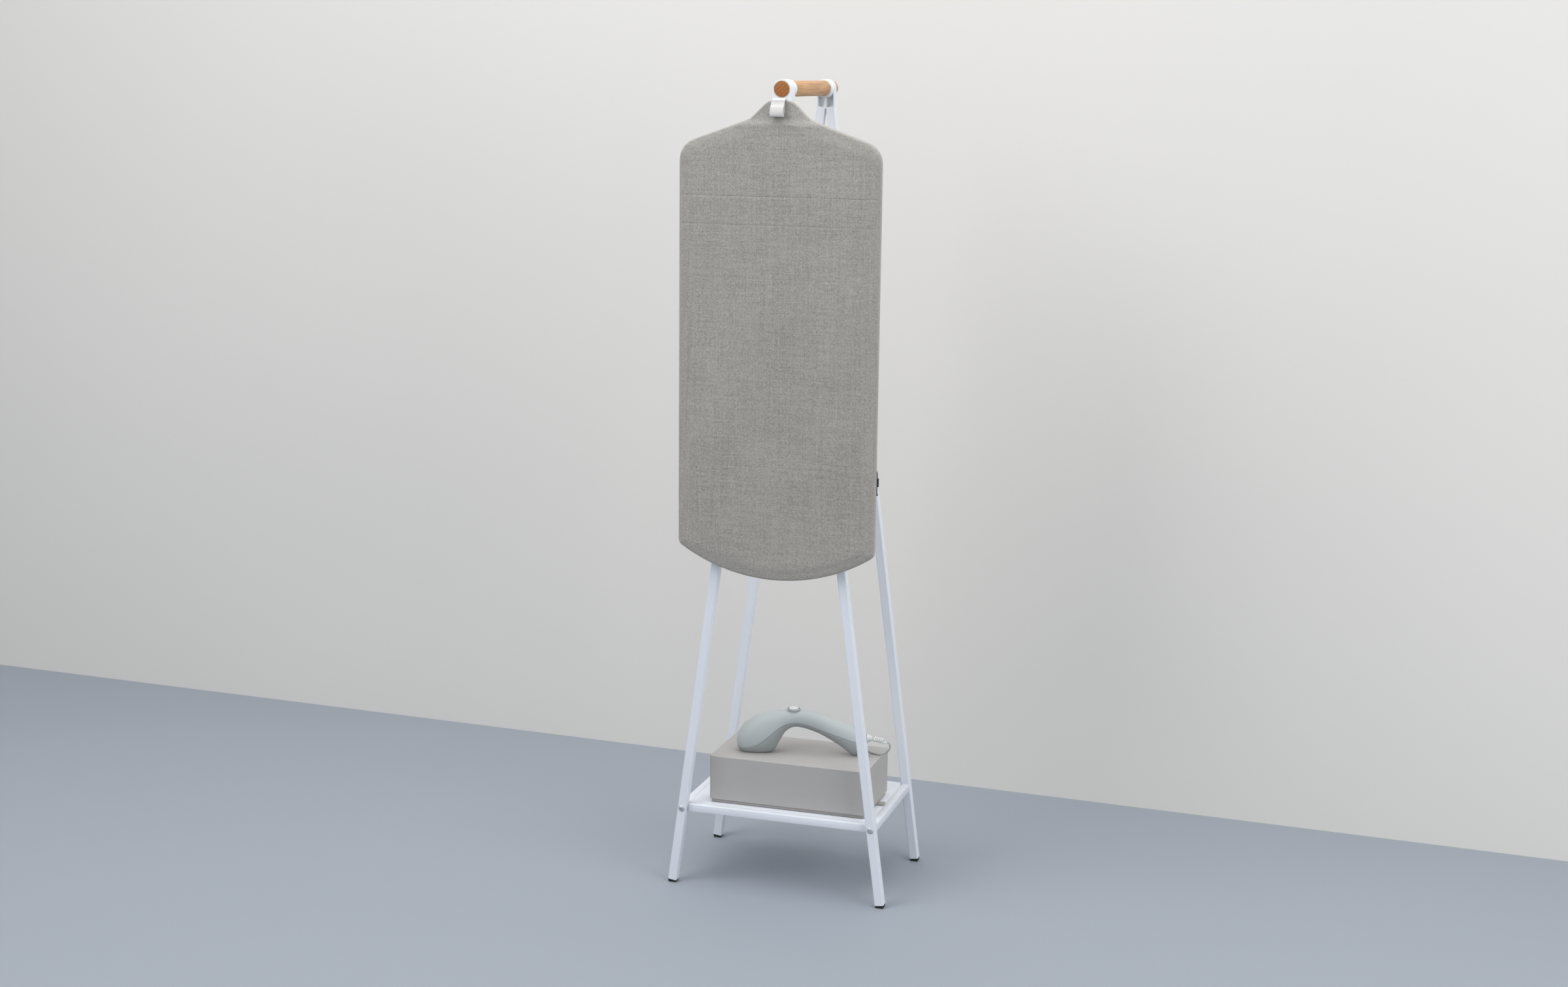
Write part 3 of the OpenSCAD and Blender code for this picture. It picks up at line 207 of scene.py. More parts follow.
def catmull(points, steps):
    """Smooth curve through points, each a tuple of numbers, with steps between neighbours."""
    made = []
    last = len(points) - 1
    for i in range(last):
        near = [points[max(i - 1, 0)], points[i], points[i + 1], points[min(i + 2, last)]]
        for k in range(steps):
            t = k / steps
            made.append(tuple(
                (2 * b + (c - a) * t + (2 * a - 5 * b + 4 * c - d) * t * t
                 + (3 * b - a - 3 * c + d) * t ** 3) / 2
                for a, b, c, d in zip(*near)))
    return made + [tuple(points[last])]


def piece(name, verts, faces, material):
    """New smooth mesh object at the origin."""
    mesh = bpy.data.meshes.new(name)
    mesh.from_pydata([tuple(v) for v in verts], [], faces)
    mesh.polygons.foreach_set("use_smooth", [True] * len(mesh.polygons))
    mesh.materials.append(material)
    made = bpy.data.objects.new(name, mesh)
    bpy.context.scene.collection.objects.link(made)
    return made


def strips(rings, count):
    """Quads between neighbouring closed rings of count points each."""
    return [
        (r * count + k, r * count + (k + 1) % count, (r + 1) * count + (k + 1) % count, (r + 1) * count + k)
        for r in range(rings - 1) for k in range(count)]


def capped(rings):
    """Corners and faces of a closed body through rings of points."""
    count = len(rings[0])
    last = (len(rings) - 1) * count
    ends = [tuple(reversed(range(count))), tuple(range(last, last + count))]
    return [v for ring in rings for v in ring], strips(len(rings), count) + ends


def outward(made):
    """Turns the faces of a closed mesh outwards."""
    shape = bmesh.new()
    shape.from_mesh(made.data)
    bmesh.ops.recalc_face_normals(shape, faces=shape.faces)
    shape.to_mesh(made.data)
    shape.free()
    return made


def settle(made):
    """Applies an object's modifiers, so that only its plain mesh is left."""
    plain = bpy.data.meshes.new_from_object(made.evaluated_get(bpy.context.evaluated_depsgraph_get()))
    made.modifiers.clear()
    made.data = plain
    plain.name = made.name
    return made


def crisp(made, degrees):
    """Smooth shading with sharp edges above an angle."""
    made.data.polygons.foreach_set("use_smooth", [True] * len(made.data.polygons))
    made.data.set_sharp_from_angle(angle=math.radians(degrees))
    return made


def joined(made, more):
    """Puts a second mesh into the first one."""
    shape = bmesh.new()
    shape.from_mesh(made.data)
    shape.from_mesh(more.data)
    shape.to_mesh(made.data)
    shape.free()
    bpy.data.objects.remove(more)
    return made


def tube(name, path, radius, sides, material):
    """Round tube along a path, with flat ends and a frame that doesn't twist."""
    rings = []
    side = Vector((0, 0, 1))
    last = len(path) - 1
    for i, point in enumerate(path):
        ahead = (path[min(i + 1, last)] - path[max(i - 1, 0)]).normalized()
        side = (side - ahead * side.dot(ahead)).normalized()
        across = ahead.cross(side)
        rings.append([point + radius * (math.cos(a) * side + math.sin(a) * across) for a in around(sides)])
    return piece(name, *capped(rings), material)


def cut(made, name, verts, faces):
    """Takes a closed tool away from a closed mesh."""
    tool = piece(name, verts, faces, made.data.materials[0])
    outward(tool)
    taking = made.modifiers.new("Cut", "BOOLEAN")
    taking.operation = "DIFFERENCE"
    taking.solver = "EXACT"
    taking.object = tool
    settle(made)
    bpy.data.objects.remove(tool)


def block(low, high):
    """Corners and faces of a block in the handset's frame."""
    verts = [hand(x, y, z) for x in (low[0], high[0]) for y in (low[1], high[1]) for z in (low[2], high[2])]
    return verts, BLOCK


def upright(at):
    """Stands a turned shape on a point of the handset's frame."""
    return lambda p: hand(*(Vector(at) + p))


def lengthwise(at):
    """Lays a turned shape along the handset from a point of its frame."""
    return lambda p: hand(*(Vector(at) + Vector((p.z, p.y, -p.x))))


def rearward(at):
    """Lays a turned shape from a point of the model towards the rear."""
    return lambda p: (Vector(at) + Vector((p.x, p.z, -p.y))) * MM


def turned(profile, placed, hollow=False):
    """Corners and faces of a body of revolution from (radius, height) pairs, a loop if it is hollow."""
    steps = 48
    rings = [[placed(Vector((r * math.cos(a), r * math.sin(a), h))) for a in around(steps)]
             for r, h in profile]
    if not hollow:
        return capped(rings)
    last = (len(rings) - 1) * steps
    closing = [(last + k, last + (k + 1) % steps, (k + 1) % steps, k) for k in range(steps)]
    return [v for ring in rings for v in ring], strips(len(rings), steps) + closing


def round_rectangle(half_x, half_y, radius, steps, x, y, z):
    """Ring of points of a rectangle with round corners about a point, in millimetres, as metres."""
    made = []
    for quarter, (i, j) in enumerate(((1, 1), (-1, 1), (-1, -1), (1, -1))):
        for k in range(steps + 1):
            a = math.pi / 2 * (quarter + k / steps)
            made.append(Vector((x + i * (half_x - radius) + radius * math.cos(a),
                                y + j * (half_y - radius) + radius * math.sin(a), z)) * MM)
    return made


def add(tree, kind, inputs=None, **settings):
    """Adds a node with its settings; an input that is a socket is linked, another is set."""
    node = tree.nodes.new(kind)
    for key, value in settings.items():
        setattr(node, key, value)
    for key, value in (inputs or {}).items():
        if isinstance(value, bpy.types.NodeSocket):
            tree.links.new(value, node.inputs[key])
        else:
            node.inputs[key].default_value = value
    return node


def worked(tree, operation, *numbers):
    """Result of a sum, a product or a comparison of numbers and sockets."""
    return add(tree, "ShaderNodeMath", dict(enumerate(numbers)), operation=operation).outputs[0]


def repeated(name, spots, kind, values, material):
    """One mesh with a small shape on every spot (place, direction, scale), made by Geometry Nodes."""
    places, ways, scales = zip(*spots)
    points = bpy.data.meshes.new(name)
    points.from_pydata([tuple(at) for at in places], [], [])
    points.attributes.new("lay", "FLOAT_VECTOR", "POINT").data.foreach_set(
        "vector", [c for way in ways for c in way])
    points.attributes.new("scale", "FLOAT", "POINT").data.foreach_set("value", scales)
    made = bpy.data.objects.new(name, points)
    bpy.context.scene.collection.objects.link(made)
    tree = bpy.data.node_groups.new(name, "GeometryNodeTree")
    tree.interface.new_socket("Geometry", in_out="OUTPUT", socket_type="NodeSocketGeometry")
    for key, socket in (("Geometry", "Geometry"), ("Length", "Float"), ("Thickness", "Float"),
                        ("Unevenness", "Float"), ("Seed", "Int"), ("Material", "Material")):
        tree.interface.new_socket(key, in_out="INPUT", socket_type="NodeSocket" + socket)
    given = add(tree, "NodeGroupInput").outputs
    if kind == "stitch":
        bead = add(tree, "GeometryNodeMeshUVSphere", {"Segments": 8, "Rings": 6, "Radius": 0.5})
        thread = add(tree, "ShaderNodeCombineXYZ", {
            "X": given["Thickness"], "Y": given["Thickness"], "Z": given["Length"]})
        shape = add(tree, "GeometryNodeTransform", {
            "Geometry": bead.outputs["Mesh"], "Scale": thread.outputs[0]})
    else:
        hoop = add(tree, "GeometryNodeCurvePrimitiveCircle", {"Resolution": 40, "Radius": given["Length"]})
        bead = add(tree, "GeometryNodeCurvePrimitiveCircle", {"Resolution": 10, "Radius": given["Thickness"]})
        shape = add(tree, "GeometryNodeCurveToMesh", {
            "Curve": hoop.outputs["Curve"], "Profile Curve": bead.outputs["Curve"]})
    lay = add(tree, "GeometryNodeInputNamedAttribute", {"Name": "lay"}, data_type="FLOAT_VECTOR")
    turn = add(tree, "FunctionNodeAlignRotationToVector", {"Vector": lay.outputs["Attribute"]}, axis="Z")
    scale = add(tree, "GeometryNodeInputNamedAttribute", {"Name": "scale"}, data_type="FLOAT")
    uneven = add(tree, "FunctionNodeRandomValue", {
        2: worked(tree, "SUBTRACT", 1.0, given["Unevenness"]), 3: 1.0, "Seed": given["Seed"]},
        data_type="FLOAT")
    copies = add(tree, "GeometryNodeInstanceOnPoints", {
        "Points": given["Geometry"], "Instance": shape.outputs[0], "Rotation": turn.outputs[0],
        "Scale": worked(tree, "MULTIPLY", scale.outputs["Attribute"], uneven.outputs[1])})
    real = add(tree, "GeometryNodeRealizeInstances", {"Geometry": copies.outputs[0]})
    dressed = add(tree, "GeometryNodeSetMaterial", {
        "Geometry": real.outputs[0], "Material": given["Material"]})
    add(tree, "NodeGroupOutput", {"Geometry": dressed.outputs[0]})
    copier = made.modifiers.new("Repeat", "NODES")
    copier.node_group = tree
    values = dict(values, Seed=7, Material=material)
    for socket in tree.interface.items_tree:
        if socket.in_out == "INPUT" and socket.name in values:
            copier[socket.identifier] = values[socket.name]
    settle(made)
    made.data.polygons.foreach_set("use_smooth", [True] * len(made.data.polygons))
    return outward(made)


def dress(made, node, *more):
    """Lets a piece stand for CAD nodes of one body, hiding them, and ride with the first one."""
    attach(made, BODY_OF[node])
    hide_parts(node, *more)
    return made


def eased(node, name, width, material, segments=2):
    """Copy of a CAD node, merged, with its edges rounded, in place of the node."""
    shape = bmesh.new()
    shape.from_mesh(NODES[node].data)
    bmesh.ops.remove_doubles(shape, verts=shape.verts, dist=2e-6)
    bmesh.ops.dissolve_limit(shape, angle_limit=math.radians(0.5), verts=shape.verts, edges=shape.edges)
    mesh = bpy.data.meshes.new(name)
    shape.to_mesh(mesh)
    shape.free()
    mesh.materials.clear()
    mesh.materials.append(material)
    made = bpy.data.objects.new(name, mesh)
    bpy.context.scene.collection.objects.link(made)
    edge = made.modifiers.new("Edge", "BEVEL")
    edge.width = width
    edge.segments = segments
    edge.limit_method = "ANGLE"
    edge.angle_limit = math.radians(40)
    edge.use_clamp_overlap = True
    settle(made)
    return dress(crisp(made, 35), node)


def paint(nodes, material):
    """Gives CAD nodes a finished material."""
    for node in nodes:
        NODES[node].data.materials.clear()
        NODES[node].data.materials.append(material)


def surface(name, **sockets):
    """New material with its shader's constant sockets set; with its tree, shader and object coordinates."""
    made = bpy.data.materials.new(name)
    made.use_nodes = True
    tree = made.node_tree
    shader = tree.nodes["Principled BSDF"]
    for key, value in sockets.items():
        shader.inputs[key if key == "IOR" else key.replace("_", " ").title()].default_value = value
    place = add(tree, "ShaderNodeTexCoord").outputs["Object"]
    return made, tree, shader, place


def patches(tree, place, size, detail=3.0, **more):
    """Noise in patches of a real size in metres, or of three sizes along x, y and z."""
    if isinstance(size, tuple):
        run = add(tree, "ShaderNodeMapping", {"Vector": place, "Scale": tuple(1 / s for s in size)})
        place, size = run.outputs[0], 1.0
    return add(tree, "ShaderNodeTexNoise", {
        "Vector": place, "Scale": 1 / size, "Detail": detail, **more}).outputs["Fac"]


def bands(tree, place, spacing, direction, more=None):
    """Straight bands at a real spacing in metres; at scale 1 the texture has 20 radians to a metre."""
    return add(tree, "ShaderNodeTexWave", {
        "Vector": place, "Scale": 2 * math.pi / 20 / spacing, **(more or {})},
        bands_direction=direction).outputs["Fac"]


def mixed(tree, share, first, second):
    """Number between two others by a share."""
    return add(tree, "ShaderNodeMix", {"Factor": share, "A": first, "B": second}).outputs["Result"]


def spread(tree, factor, low, high):
    """The stretch of a factor between two values, drawn out to 0 and 1."""
    return add(tree, "ShaderNodeMapRange", {
        "Value": factor, "From Min": low, "From Max": high}).outputs["Result"]


def between(tree, factor, dark, light):
    """Colour between two shades by a factor."""
    return add(tree, "ShaderNodeMix", {"Factor": factor, 6: dark, 7: light}, data_type="RGBA").outputs[2]


def shades(tree, shader, factor, dark, light):
    """Base colour between two shades by a factor."""
    tree.links.new(between(tree, factor, dark, light), shader.inputs["Base Color"])


def gloss(tree, shader, factor, low, high):
    """Roughness between two values by a factor."""
    rough = add(tree, "ShaderNodeMapRange", {"Value": factor, "To Min": low, "To Max": high})
    tree.links.new(rough.outputs["Result"], shader.inputs["Roughness"])


def relief(tree, shader, height, depth, strength=1.0):
    """Bump of a real depth in metres."""
    bump = add(tree, "ShaderNodeBump", {"Height": height, "Distance": depth, "Strength": strength})
    tree.links.new(bump.outputs["Normal"], shader.inputs["Normal"])


def darker(tone, share):
    """A linear colour with its light scaled."""
    return tuple(c * share for c in tone[:3]) + (1.0,)


def powder_coat():
    """Polyester powder coat on steel: an even satin white with a faint orange peel."""
    tone = look().stand_finish.paint
    made, tree, shader, place = surface("powder_coat", roughness=0.42, IOR=1.5)
    # Orange peel has a wave of about 2.5 mm
    peel = patches(tree, place, 0.0025, 2.0)
    shades(tree, shader, patches(tree, place, 0.18), darker(tone, 0.95), darker(tone, 1.03))
    gloss(tree, shader, peel, 0.36, 0.48)
    relief(tree, shader, peel, 0.00006)
    return made


def moulded(name, tone, rough, grit, depth, mottle=0.05):
    """Moulded plastic or soft rubber with a fine matt grain: grit in metres, coarse enough to show."""
    made, tree, shader, place = surface(name, roughness=rough, IOR=1.46)
    grain = patches(tree, place, grit)
    flow = patches(tree, place, 0.07, 4.0)
    shades(tree, shader, mixed(tree, 0.35, flow, grain), darker(tone, 1 - mottle), darker(tone, 1 + mottle))
    gloss(tree, shader, grain, rough - 0.06, rough + 0.06)
    relief(tree, shader, grain, depth)
    return made


def rubber(name, code):
    """Moulded rubber: dull, with a fine dusty bloom."""
    made, tree, shader, place = surface(name, roughness=0.62, IOR=1.52)
    bloom = patches(tree, place, 0.004, 5.0)
    tone = srgb(code)
    shades(tree, shader, bloom, darker(tone, 0.85), darker(tone, 1.2))
    relief(tree, shader, bloom, 0.00005)
    return made


def zinc_plate():
    """Bright zinc on steel: a bluish metal with soft cloudy patches."""
    made, tree, shader, place = surface("zinc_plate", metallic=0.75, roughness=0.5)
    cloud = patches(tree, place, 0.003, 4.0)
    shades(tree, shader, cloud, srgb("#aeb4b8"), srgb("#d9dde0"))
    gloss(tree, shader, cloud, 0.46, 0.62)
    return made


def beech():
    """Turned beech under oil: golden long grain with streaks and short flecks, and brown banded end grain."""
    finish = look().stand_finish
    low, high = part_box("carry_bar")
    made, tree, shader, place = surface("oiled_beech", roughness=0.5, IOR=1.45)
    # Streaks are 90 mm long and 3 mm wide, flecks 6 mm long
    streak = patches(tree, place, (0.003, 0.09, 0.003), 5.0)
    fleck = patches(tree, place, (0.0011, 0.006, 0.0011), 2.0)
    grain = between(
        tree, spread(tree, streak, 0.34, 0.62), darker(finish.wood, 0.66), darker(finish.wood, 1.08))
    flecked = between(tree, spread(tree, fleck, 0.6, 0.72), grain, darker(finish.wood, 0.62))
    # The end shows sawn bands of growth, 6 mm apart and slanting
    slant = add(tree, "ShaderNodeMapping", {"Vector": place, "Rotation": (0.0, math.radians(-48), 0.0)})
    growth = bands(
        tree, slant.outputs[0], 0.006, "X", {"Distortion": 1.8, "Detail": 4.0, "Detail Scale": 1.4})
    ends = mixed(tree, 0.4, growth, patches(tree, place, 0.0016))
    banded = between(tree, ends, darker(finish.end_grain, 0.7), darker(finish.end_grain, 1.4))
    # End grain begins 0.9 mm from the ends, just before the rounded edge
    where = add(tree, "ShaderNodeSeparateXYZ", {"Vector": place}).outputs["Y"]
    reach = worked(tree, "ABSOLUTE", worked(tree, "SUBTRACT", where, (low.y + high.y) / 2))
    at_end = worked(tree, "GREATER_THAN", reach, (high.y - low.y) / 2 - 0.0009)
    shades(tree, shader, at_end, flecked, banded)
    relief(tree, shader, streak, 0.0001)
    return made


def melange_cloth():
    """Plain-woven melange of light and dark grey fibres: a dull fuzzy cloth with short uneven flecks.
    The threads are drawn coarser than real ones, so that they show in the render."""
    finish = look().board_finish
    made, tree, shader, place = surface(
        "melange_cloth", roughness=0.93, sheen_weight=0.45, sheen_roughness=0.45, IOR=1.45)
    thread = finish.thread
    fleck = 2.4 * thread
    upright_yarn = patches(tree, place, (thread, thread, fleck))
    yarns = mixed(tree, 0.4, upright_yarn, patches(tree, place, (fleck, thread, thread)))
    # Thick places in the yarn: slubs across the board, fainter lines down it, and soft clouds
    uneven = yarns
    for wide, tall, share in ((0.05, 0.0022, 0.17), (0.0022, 0.12, 0.13), (0.14, 0.09, 0.08)):
        uneven = mixed(tree, share, uneven, patches(tree, place, (wide, thread, tall)))
    shades(tree, shader, spread(tree, uneven, 0.35, 0.65), finish.dark_thread, finish.light_thread)
    weave = worked(tree, "MULTIPLY", bands(tree, place, thread, "X"), bands(tree, place, thread, "Z"))
    relief(tree, shader, worked(tree, "ADD", weave, yarns), 0.0004, 0.7)
    return made


def yarn(name, tone, thread):
    """Woven, braided or twisted yarn: dull and slightly fuzzy, with fine fibres."""
    made, tree, shader, place = surface(
        name, roughness=0.9, sheen_weight=0.25, sheen_roughness=0.5, IOR=1.45)
    fibre = patches(tree, place, (3 * thread, thread, thread), 4.0)
    shades(tree, shader, fibre, darker(tone, 0.8), darker(tone, 1.06))
    relief(tree, shader, fibre, 0.0002)
    return made


def fibreboard():
    """Pressed wood fibre: brown, with short pale and dark fibres."""
    made, tree, shader, place = surface("fibreboard", roughness=0.85, IOR=1.5)
    fibre = patches(tree, place, 0.003, 8.0, Distortion=1.2)
    shades(tree, shader, fibre, srgb("#7a5f42"), srgb("#b0926b"))
    relief(tree, shader, fibre, 0.0001)
    return made


def aluminium():
    """Brushed aluminium: fine parallel scratches across a bright metal."""
    made, tree, shader, place = surface("brushed_aluminium", metallic=1.0, roughness=0.35)
    brush = patches(tree, place, (0.02, 0.0004, 0.0004))
    shades(tree, shader, brush, srgb("#a9acaf"), srgb("#cfd2d4"))
    gloss(tree, shader, brush, 0.28, 0.46)
    return made


def plain_stage(name, tone, rough):
    """Matt painted plaster or resin floor: one pale tone with faint clouds."""
    made, tree, shader, place = surface(name, roughness=rough, IOR=1.4)
    shades(tree, shader, patches(tree, place, 1 / 1.3), darker(tone, 0.98), darker(tone, 1.02))
    return made


class STEAMSTAND_OT_stage(Operator):
    """Camera at the photograph's angle, plain floor and wall, and soft light"""
    bl_idname = "steamstand.stage"
    bl_label = "Stage"

    def execute(self, context):
        finish = look().stage_finish
        scene = context.scene
        # Width of the photograph and distance of its picture plane, in pixels
        frame_width, focal = 2400, 3338.7
        yaw, pitch, roll = (math.radians(a) for a in (17.447, 11.032, 0.7))
        ahead = Vector((-math.sin(yaw) * math.cos(pitch), math.cos(yaw) * math.cos(pitch), -math.sin(pitch)))
        right = Vector((math.cos(yaw), math.sin(yaw), 0))
        up = right.cross(ahead)
        across = math.cos(roll) * right + math.sin(roll) * up
        over = -math.sin(roll) * right + math.cos(roll) * up
        lens = bpy.data.cameras.new("Camera")
        lens.sensor_width = 36.0
        lens.lens = lens.sensor_width * focal / frame_width
        camera = bpy.data.objects.new("Camera", lens)
        camera.matrix_world = Matrix((across, over, -ahead)).transposed().to_4x4()
        camera.location = (1.2596, -4.1155, 1.6385)
        scene.collection.objects.link(camera)
        scene.camera = camera
        scene.view_settings.view_transform = "Standard"

        reach, tall = 9, 7
        floor = piece(
            "floor", [(-reach, -reach, 0), (reach, -reach, 0), (reach, reach, 0), (-reach, reach, 0)],
            [(0, 1, 2, 3)], plain_stage("resin_floor", finish.floor, 0.55))
        # The wall stands behind the stand, turned a little against it, and is seen from its front only
        away, turn = 0.667, math.radians(-2.46)
        along = Vector((math.cos(turn), math.sin(turn), 0)) * reach
        foot, rise = Vector((0, away, 0)), Vector((0, 0, tall))
        plaster = plain_stage("plaster_wall", finish.wall, 0.8)
        tree = plaster.node_tree
        rear = add(tree, "ShaderNodeNewGeometry").outputs["Backfacing"]
        clear = add(tree, "ShaderNodeBsdfTransparent")
        one_sided = add(tree, "ShaderNodeMixShader", {
            0: rear, 1: tree.nodes["Principled BSDF"].outputs[0], 2: clear.outputs[0]})
        tree.links.new(one_sided.outputs[0], tree.nodes["Material Output"].inputs["Surface"])
        wall = piece("wall", [foot - along, foot + along, foot + along + rise, foot - along + rise],
                     [(0, 1, 2, 3)], plaster)

        world = bpy.data.worlds.new("Room")
        world.use_nodes = True
        room = world.node_tree.nodes["Background"].inputs
        room["Color"].default_value = srgb("#f4f7fa")
        room["Strength"].default_value = finish.sky
        scene.world = world
        for name, at, aim, wide, share in (
                ("Key", (-2.2, -2.6, 3.4), (0, 0, 0.9), 2.6, 1.0),
                ("Fill", (3.4, -1.6, 2.0), (0, 0, 0.8), 2.6, 0.78),
                ("Ceiling", (0, -0.4, 3.8), (0, -0.4, 0), 3.0, 0.91)):
            lamp = bpy.data.lights.new(name, "AREA")
            lamp.size = wide
            lamp.energy = finish.key * share
            holder = bpy.data.objects.new(name, lamp)
            holder.location = at
            holder.rotation_euler = (Vector(aim) - Vector(at)).to_track_quat("-Z", "Y").to_euler()
            scene.collection.objects.link(holder)
        return {"FINISHED"}


def cord_route():
    """Middle line of the cord, from the steamer's gland round and through the curls to the handset."""
    axis = Vector((math.cos(CURL_SLOPE), 0, -math.sin(CURL_SLOPE)))
    upward = Vector((math.sin(CURL_SLOPE), 0, math.cos(CURL_SLOPE)))
    sideways = Vector((0, 1, 0))
    start = Vector((TAIL_END + SLEEVE, 0, TAIL_MID))
    end = start + axis * (2 * WIRE + CURL_PITCH * CURLS)
    straight = 2.5
    lead = [Vector(GLAND_MOUTH) + Vector(step) for step in LEAD_FROM_GLAND]
    lead += [end + Vector(step) for step in LEAD_TO_CURLS] + [end + axis * straight]
    # The first half turn and the last three eighths are left out, so that the cord can bend to the axis
    per_turn, first, last = 8, 4, 3
    for i in range(per_turn * CURLS - last, first - 1, -1):
        angle = 2 * math.pi * i / per_turn
        lead.append(start + axis * (WIRE + CURL_PITCH * i / per_turn)
                    + CURL_RADIUS * (math.cos(angle) * upward + math.sin(angle) * sideways))
    points = [Vector(p) for p in catmull([tuple(p) for p in lead + [start]], ROUTE_STEPS)]
    # The bends where the curls begin and end are eased
    passes = 12
    for _ in range(passes):
        middle = [(a + 2 * b + c) / 4 for a, b, c in zip(points, points[1:], points[2:])]
        points = points[:1] + middle + points[-1:]
    return [hand(*p) for p in points]


class STEAMSTAND_OT_cord(Operator):
    """Curly cord between the steamer and the handset"""
    bl_idname = "steamstand.cord"
    bl_label = "Cord"

    def execute(self, context):
        route = cord_route()
        finish = look().steamer_finish
        sides = 12
        made = tube("curly_cord", route, WIRE / 2 * MM, sides, moulded(
            "pale_cord_rubber", finish.curls, 0.5, 0.0012, 0.00003))
        # The plain part takes a darker copy of the curls' rubber, painted shade
        made.data.materials.append(moulded("shaded_grey_cord_rubber", finish.lead, 0.5, 0.0012, 0.00003))
        plain = ROUTE_STEPS * (len(LEAD_FROM_GLAND) + len(LEAD_TO_CURLS)) * sides
        made.data.polygons.foreach_set(
            "material_index", [1 if face.index < plain else 0 for face in made.data.polygons])
        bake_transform(made)
        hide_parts("cord_curl", "cord_lead")
        return {"FINISHED"}


def rounded_corner(a, b, c, radius, steps):
    """Arc that rounds the corner b of the path a, b, c."""
    u, v = (a - b).normalized(), (c - b).normalized()
    half = math.acos(u.dot(v)) / 2
    middle = b + (u + v).normalized() * radius / math.sin(half)
    first = b + u * radius / math.tan(half) - middle
    last = b + v * radius / math.tan(half) - middle
    start = math.atan2(first.y, first.x)
    sweep = (math.atan2(last.y, last.x) - start + math.pi) % (2 * math.pi) - math.pi
    angles = [start + sweep * i / steps for i in range(steps + 1)]
    return [middle + radius * Vector((math.cos(t), math.sin(t))) for t in angles]


def board_edge():
    """Right half of the board's outline, from the neck's top to the lowest point."""
    sag = SIDE_END - BOARD_LOW
    bow = (BOARD_HALF ** 2 + sag ** 2) / (2 * sag)
    hem = [Vector((BOARD_HALF * t, BOARD_LOW + bow - math.sqrt(bow ** 2 - (BOARD_HALF * t) ** 2)))
           for t in (1 - i / 24 for i in range(1, 25))]
    top, neck = Vector((NECK_TOP_HALF, NECK_TOP)), Vector((NECK_BASE_HALF, NECK_BASE))
    shoulder, side = Vector((BOARD_HALF, SHOULDER)), Vector((BOARD_HALF, SIDE_END))
    return ([Vector((0, NECK_TOP))] + rounded_corner(Vector((0, NECK_TOP)), top, neck, NECK_RADIUS, 8)
            + rounded_corner(top, neck, shoulder, NECK_FILLET, 6)
            + rounded_corner(neck, shoulder, side, SHOULDER_RADIUS, 10)
            + rounded_corner(shoulder, side, hem[1], HEM_RADIUS, 6) + hem[2:])


def inset(path, depth):
    """The right half of an outline drawn in."""
    made = []
    for i, point in enumerate(path):
        before = path[i - 1] if i else Vector((-path[1].x, path[1].y))
        after = path[i + 1] if i + 1 < len(path) else Vector((-path[-2].x, path[-2].y))
        ahead = (after - before).normalized()
        made.append(point + depth * Vector((ahead.y, -ahead.x)))
    return made


def height_at(x, path):
    """Height of a path that runs from left to right, at x."""
    for a, b in zip(path, path[1:]):
        if a.x <= x <= b.x and b.x > a.x:
            return a.y + (b.y - a.y) * (x - a.x) / (b.x - a.x)
    return path[-1].y if x > path[-1].x else path[0].y


def pad_grid(depth):
    """Columns and rows of the board's front, drawn in by depth: a list of columns of (x, height)."""
    edge = inset(board_edge(), depth)
    wide = max(p.x for p in edge)
    on_side = [i for i, p in enumerate(edge) if p.x > wide - 0.01]
    top, low = edge[:on_side[0] + 1], edge[:on_side[-1] - 1:-1]
    # Columns stand closer near the sides, and rows near the fold lines
    near_side, across = 6, 36
    half = [wide, wide - 1.2, wide - 3] + [(wide - near_side) * (1 - i / across) for i in range(across + 1)]
    columns = [-x for x in half] + half[-2::-1]
    straight_low, straight_top, along = -858.0, -150.0, 108
    rows = {straight_low + (straight_top - straight_low) * i / along for i in range(along + 1)}
    for at, _ in CREASES:
        rows = {r for r in rows if abs(r - at) > 4.5} | {at + step for step in (-3, -1, 0, 1, 3)}
    straight = sorted(rows)
    below, above = 12, 26
    made = []
    for x in columns:
        lowest, highest = height_at(abs(x), low), height_at(abs(x), top)
        column = [lowest + (straight_low - lowest) * i / below for i in range(below)]
        column += straight
        column += [straight_top + (highest - straight_top) * i / above for i in range(1, above + 1)]
        made.append([Vector((x, z)) for z in column])
    return made


def rim_of(wide, tall):
    """Numbers of the points round a grid of columns."""
    return ([c * tall for c in range(wide)] + [(wide - 1) * tall + r for r in range(1, tall)]
            + [c * tall + tall - 1 for c in range(wide - 2, -1, -1)] + list(range(tall - 2, 0, -1)))


def ways_out(rim):
    """Directions out of a closed ring of points (x, depth, height), in its plane."""
    made = []
    for i in range(len(rim)):
        ahead = rim[(i + 1) % len(rim)] - rim[i - 1]
        made.append(Vector((ahead.z, 0, -ahead.x)).normalized())
    return made


def neck_step(x, z):
    """How far the cloth of the neck lies behind the pad's upper edge, which rolls over it."""
    step, run, roll, roll_below, roll_wide = 3.6, 6, 1.2, 4, 5
    share = 0.4 + 0.6 * min(1, abs(x) / NECK_TOP_HALF)
    t = min(max((z - NECK_FOLD) / run, 0), 1)
    rolled = math.exp(-((z - NECK_FOLD + roll_below) / roll_wide) ** 2)
    return share * (step * t * t * (3 - 2 * t) - roll * rolled)


